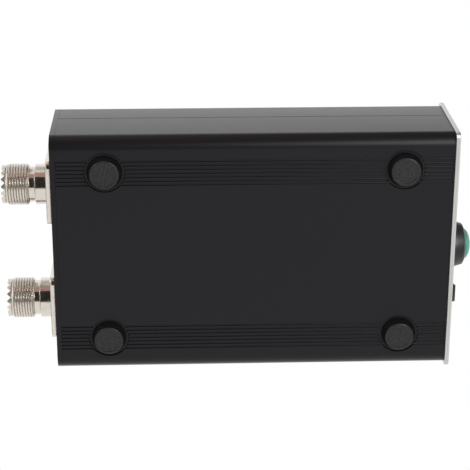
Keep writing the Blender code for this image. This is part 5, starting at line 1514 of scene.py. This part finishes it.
class TUNER_OT_display(bpy.types.Operator):
    """Model the window, the display behind it and its lit marks"""
    bl_idname = "tuner.display"
    bl_label = "Display"

    def execute(self, context):
        controls = context.scene.antenna_tuner.controls
        lowest, highest = low("display_window"), high("display_window")
        spot = (lowest + highest) / 2
        rim, edge = controls.window_rim, controls.window_edge
        pane_width, pane_height = highest.x - lowest.x - 2 * rim, highest.z - lowest.z - 2 * rim
        step_y = high("front_panel").y + SEAT_GAP
        centre, corner = (spot.x, spot.z), rim / 2
        pane = [(y, rounded_rectangle(pane_width + 2 * out, pane_height + 2 * out, corner + out, centre))
                for y, out in ((lowest.y, -edge), (lowest.y + edge, 0), (step_y, 0))]
        back = [(y, rounded_rectangle(pane_width + 2 * rim, pane_height + 2 * rim, corner, centre))
                for y in (step_y, highest.y)]
        show("display_pane", stacked(pane + back), "clear_window", stands_for=["display_window"])
        repaint("display_module", "blue_board")

        front = low("display_module").y
        width, height = pane_width * SCREEN_SHARE, pane_height * SCREEN_SHARE
        screen = stacked([(front - rise, rounded_rectangle(width - 2 * inset, height - 2 * inset,
                                                           SCREEN_CORNER, centre, 4))
                          for rise, inset in SCREEN_LAYERS])
        show("display_screen", screen, "display_glass")
        self.lit(front - SEGMENT_HEIGHT, spot, width, height)
        return {'FINISHED'}

    def lit(self, y, spot, width, height):
        """Lit digits and two level bars, all generic."""
        shape = bmesh.new()
        left, top = spot.x - width * PICTURE_LEFT, spot.z + height * PICTURE_TOP
        digit_width, digit_height, stroke = width * DIGIT_WIDTH, height * DIGIT_HEIGHT, width * DIGIT_STROKE
        for number, digit in enumerate("12"):
            x = left + number * digit_width * DIGIT_STEP
            seven_segments(shape, digit, x, top, digit_width, digit_height, stroke, y)
        lit_bar(shape, left + digit_width * POINT_PLACE, top - digit_height + stroke, stroke, stroke, y)
        small_width, small_height = digit_width * SMALL_DIGIT, digit_height * SMALL_DIGIT
        start, small_top = spot.x + width * SMALL_DIGITS_START, top - digit_height + small_height
        for number, digit in enumerate("0725"):
            x = start + number * small_width * SMALL_STEP
            seven_segments(shape, digit, x, small_top, small_width, small_height, stroke * SMALL_STROKE, y)
        for drop, filled in BAR_ROWS:
            for tick in range(BAR_TICKS):
                x, z = left + tick * width * BAR_STEP, spot.z - height * drop
                tall = height * (BAR_LIT if tick < filled else BAR_UNLIT)
                lit_bar(shape, x, z, width * BAR_WIDTH, tall, y)
        show("display_segments", shape, "glow")


# The seven bars of a digit run clockwise from the top, a to f, with g across the middle
SEGMENTS = {"0": "abcdef", "1": "bc", "2": "abged", "5": "afgcd", "7": "abc"}


def lit_bar(shape, x, z, width, height, y):
    """A thin lit block whose lower left corner is at x, z."""
    size = Matrix.Diagonal((width, SEGMENT_DEPTH, height, 1))
    seat = Matrix.Translation((x + width / 2, y, z + height / 2)) @ size
    bmesh.ops.create_cube(shape, size=1.0, matrix=seat)


def seven_segments(shape, digit, x, top, width, height, stroke, y):
    """One digit of seven bars, from its top left corner."""
    half, gap = height / 2, stroke * SEGMENT_GAP
    inset, right = x + stroke + gap, x + width - stroke
    across, upright = width - 2 * (stroke + gap), half - stroke / 2 - gap * 2
    upper, lower = top - half + gap, top - height + stroke / 2 + gap
    bars = {"a": (inset, top - stroke, across, stroke), "b": (right, upper, stroke, upright),
            "c": (right, lower, stroke, upright), "d": (inset, top - height, across, stroke),
            "e": (x, lower, stroke, upright), "f": (x, upper, stroke, upright),
            "g": (inset, top - half - stroke / 2, across, stroke)}
    for name in SEGMENTS[digit]:
        lit_bar(shape, *bars[name], y)


INNER_FINISHES = {
    "green_board": ["main_board", "charger_board"],
    "black_plastic": ["microcontroller", "inductor_relays", "capacitor_relays", "display_header"],
    "amber_capacitor": ["capacitors"],
    "copper_wire": ["air_coil", "toroid_winding_1", "toroid_winding_2", "antenna_lead", "transmitter_lead"],
    "ferrite": ["toroid_core_1", "toroid_core_2", "coupler_core"],
    "silver_pouch": ["battery_pack"],
    "foam_tape": ["battery_tape"],
    "red_wire": ["tune_button_lead", "battery_lead"],
    "black_wire": ["power_switch_lead"],
}


class TUNER_OT_inner_parts(bpy.types.Operator):
    """Finish the boards, relays, coils, battery and leads inside the case"""
    bl_idname = "tuner.inner_parts"
    bl_label = "Inner parts"

    def execute(self, context):
        for finish_name, nodes in INNER_FINISHES.items():
            for node in nodes:
                repaint(node, finish_name)
        return {'FINISHED'}


# Where the camera stands, where it looks, and which way is up in its picture
CAMERA_PLACE = Vector((-0.22152, 0.02359, -0.54682))
CAMERA_HEADING = Vector((0.36115, -0.03593, 0.93181))
CAMERA_UP = Vector((-0.93251, -0.01189, 0.36097))
SENSOR_WIDTH = 36.0

# Softboxes: direction from the object, distance, width and height
FRONT_LAMP = (Vector((-0.45, -0.47, -0.76)), 0.62, 0.40, 0.40)
REAR_LAMP = (Vector((-0.50, 0.82, -0.29)), 0.62, 0.25, 0.25)
ROOF_LAMP = (Vector((-0.36, -0.04, 0.93)), 0.75, 0.6, 0.5)

# The dark screen beside the camera, which the polished metal mirrors: ahead to its middle, and to its side
SCREEN_HEADING = Vector((-0.518, 0.0, -0.855))
SCREEN_SIDE = Vector((-0.855, 0.0, 0.518))

# The middle of a dark screen above the front left corner, which darkens the top of the button's bezel
HIGH_SCREEN = Vector((-0.76, -0.52, 0.39))

# Where a shade sets in and where it is full, as the share of a view that lies along its heading
BEFORE_EDGE = (0.0, 0.1)
FRONT_END_EDGE = (-0.42, -0.27)
REAR_END_EDGE = (0.25, 0.4)
RIGHT_EDGE = (-0.66, -0.58)
LEFT_EDGE = (0.44, 0.54)
FRINGE_EDGE = (0.78, 0.88)
BELOW_EDGE = (-0.6, -0.3)
PAST_ENDS_EDGE = (0.35, 0.6)
HIGH_SCREEN_EDGE = (0.72, 0.88)

# Colours of the world, and how much of a shade the parts past the ends and above take
WHITE = (1, 1, 1, 1)
SCREEN_COLOUR = (0.02, 0.018, 0.017, 1)
FRINGE_COLOUR = (0.50, 0.31, 0.27, 1)
DARK = (0.02, 0.02, 0.02, 1)
PAST_ENDS_SHARE = 0.75
HIGH_SCREEN_SHARE = 0.8

FLOOR_HALF_WIDTH = 3.0


class TUNER_OT_studio(bpy.types.Operator):
    """Set the camera, the lamps, the floor and the white surroundings"""
    bl_idname = "tuner.studio"
    bl_label = "Studio"

    def execute(self, context):
        studio = context.scene.antenna_tuner.studio
        context.scene.view_settings.view_transform = 'Standard'
        self.camera(context, studio)
        centre = Vector((0, 0, (low("lower_shell").z + high("upper_shell").z) / 2))
        self.lamp("Front lamp", centre, FRONT_LAMP, studio.front_power)
        self.lamp("Rear lamp", centre, REAR_LAMP, studio.rear_power)
        self.lamp("Roof lamp", centre, ROOF_LAMP, studio.roof_power)
        self.floor(studio)
        self.surroundings(context)
        return {'FINISHED'}

    def camera(self, context, studio):
        """The camera of the photograph, below the object and to its left."""
        back = -CAMERA_HEADING.normalized()
        right = CAMERA_UP.cross(back).normalized()
        turn = Matrix((right, back.cross(right), back)).transposed()
        data = bpy.data.cameras.new("Camera")
        data.lens = studio.lens
        data.sensor_width = SENSOR_WIDTH
        data.sensor_fit = 'HORIZONTAL'
        camera = bpy.data.objects.new("Camera", data)
        camera.matrix_world = Matrix.Translation(CAMERA_PLACE) @ turn.to_4x4()
        context.scene.collection.objects.link(camera)
        context.scene.camera = camera

    def lamp(self, name, centre, setting, power):
        """A rectangular softbox that faces the object and isn't seen itself."""
        heading, distance, width, height = setting
        data = bpy.data.lights.new(name, 'AREA')
        data.shape = 'RECTANGLE'
        data.size = width
        data.size_y = height
        data.energy = power
        lamp = bpy.data.objects.new(name, data)
        lamp.location = centre + heading.normalized() * distance
        lamp.rotation_euler = heading.to_track_quat('Z', 'Y').to_euler()
        lamp.visible_camera = False
        bpy.context.scene.collection.objects.link(lamp)

    def floor(self, studio):
        """A pale floor that takes the object's shadow and is clear from below, where the camera stands."""
        shape = bmesh.new()
        bmesh.ops.create_grid(shape, x_segments=1, y_segments=1, size=FLOOR_HALF_WIDTH)
        mesh = bpy.data.meshes.new("Floor")
        shape.to_mesh(mesh)
        shape.free()
        floor = bpy.data.objects.new("Floor", mesh)
        bpy.context.scene.collection.objects.link(floor)
        skin = Finish("floor", Roughness=0.9, Specular_IOR_Level=0.1)
        cloud = skin.noise(3.0)
        skin.feed(Base_Color=skin.mix(cloud, tint(studio.floor, 0.99), tint(studio.floor, 1.01)))
        backfacing = skin.node('ShaderNodeNewGeometry', output=BACKFACING_OUTPUT)
        seen = skin.node('ShaderNodeLightPath') * (1 - backfacing)
        clear = skin.node('ShaderNodeBsdfTransparent')
        solid = Value(skin, skin.shader.outputs[0])
        choice = skin.node('ShaderNodeMixShader', values={0: seen, 1: clear, 2: solid})
        skin.tree.links.new(choice.socket, skin.tree.nodes["Material Output"].inputs["Surface"])
        mesh.materials.append(skin.material)

    def surroundings(self, context):
        """White all round for the camera; the object also mirrors dark screens beside, past and above."""
        world = bpy.data.worlds.new("Studio")
        world.use_nodes = True
        context.scene.world = world
        sky = NodeTree(world.node_tree)
        heading = sky.node('ShaderNodeTexCoord')

        def towards(direction):
            settings = {'operation': 'DOT_PRODUCT'}
            return sky.node('ShaderNodeVectorMath', settings, {0: heading, 1: direction}, 1)

        ahead, aside, along = towards(SCREEN_HEADING), towards(SCREEN_SIDE), towards(Vector((0, 1, 0)))
        before = sky.ranged(ahead, *BEFORE_EDGE)
        ends = sky.ranged(along, *FRONT_END_EDGE) * (1 - sky.ranged(along, *REAR_END_EDGE))
        right_edge, left_edge = sky.ranged(aside, *RIGHT_EDGE), sky.ranged(aside, *LEFT_EDGE)
        dark = before * right_edge * (1 - left_edge) * ends
        fringe = before * left_edge * (1 - sky.ranged(aside, *FRINGE_EDGE)) * ends
        shade = sky.mix(fringe, sky.mix(dark, WHITE, SCREEN_COLOUR), FRINGE_COLOUR)
        below = 1 - sky.ranged(towards(Vector((0, 0, 1))), *BELOW_EDGE)
        past_ends = sky.ranged(sky.math('ABSOLUTE', along), *PAST_ENDS_EDGE)
        shade = sky.mix(PAST_ENDS_SHARE * (below * past_ends), shade, DARK)
        overhead = sky.ranged(towards(HIGH_SCREEN), *HIGH_SCREEN_EDGE)
        shade = sky.mix(HIGH_SCREEN_SHARE * overhead, shade, DARK)
        seen = sky.node('ShaderNodeLightPath')
        background = world.node_tree.nodes["Background"]
        world.node_tree.links.new(sky.mix(seen, shade, WHITE).socket, background.inputs["Color"])


class TUNER_PT_build(bpy.types.Panel):
    """Lists the pieces and their sizes"""
    bl_label = "Antenna tuner"
    bl_idname = "TUNER_PT_build"
    bl_space_type = 'VIEW_3D'
    bl_region_type = 'UI'
    bl_category = "Tuner"

    def draw(self, context):
        for operator in OPERATORS:
            self.layout.operator(operator.bl_idname)
        settings = context.scene.antenna_tuner
        for group_name in settings.__annotations__:
            group = getattr(settings, group_name)
            box = self.layout.box()
            for name in group.__annotations__:
                box.prop(group, name)


GROUPS = [CaseSizes, PlateSizes, SocketSizes, ControlSizes, FinishColours, StudioSizes, TunerSettings]
OPERATORS = [TUNER_OT_shells, TUNER_OT_feet, TUNER_OT_front_panel, TUNER_OT_rear_plate,
             TUNER_OT_plate_screws, TUNER_OT_sockets, TUNER_OT_socket_screws, TUNER_OT_charge_socket,
             TUNER_OT_tune_button, TUNER_OT_power_switch, TUNER_OT_display, TUNER_OT_inner_parts,
             TUNER_OT_studio]
CLASSES = [*GROUPS, *OPERATORS, TUNER_PT_build]


def register():
    for item in CLASSES:
        bpy.utils.register_class(item)
    bpy.types.Scene.antenna_tuner = bpy.props.PointerProperty(type=TunerSettings)


def unregister():
    del bpy.types.Scene.antenna_tuner
    for item in reversed(CLASSES):
        bpy.utils.unregister_class(item)


def main():
    register()
    bpy.ops.tuner.shells()
    bpy.ops.tuner.feet()
    bpy.ops.tuner.front_panel()
    bpy.ops.tuner.rear_plate()
    bpy.ops.tuner.plate_screws()
    bpy.ops.tuner.sockets()
    bpy.ops.tuner.socket_screws()
    bpy.ops.tuner.charge_socket()
    bpy.ops.tuner.tune_button()
    bpy.ops.tuner.power_switch()
    bpy.ops.tuner.display()
    bpy.ops.tuner.inner_parts()
    bpy.ops.tuner.studio()


if __name__ == "__main__":
    main()
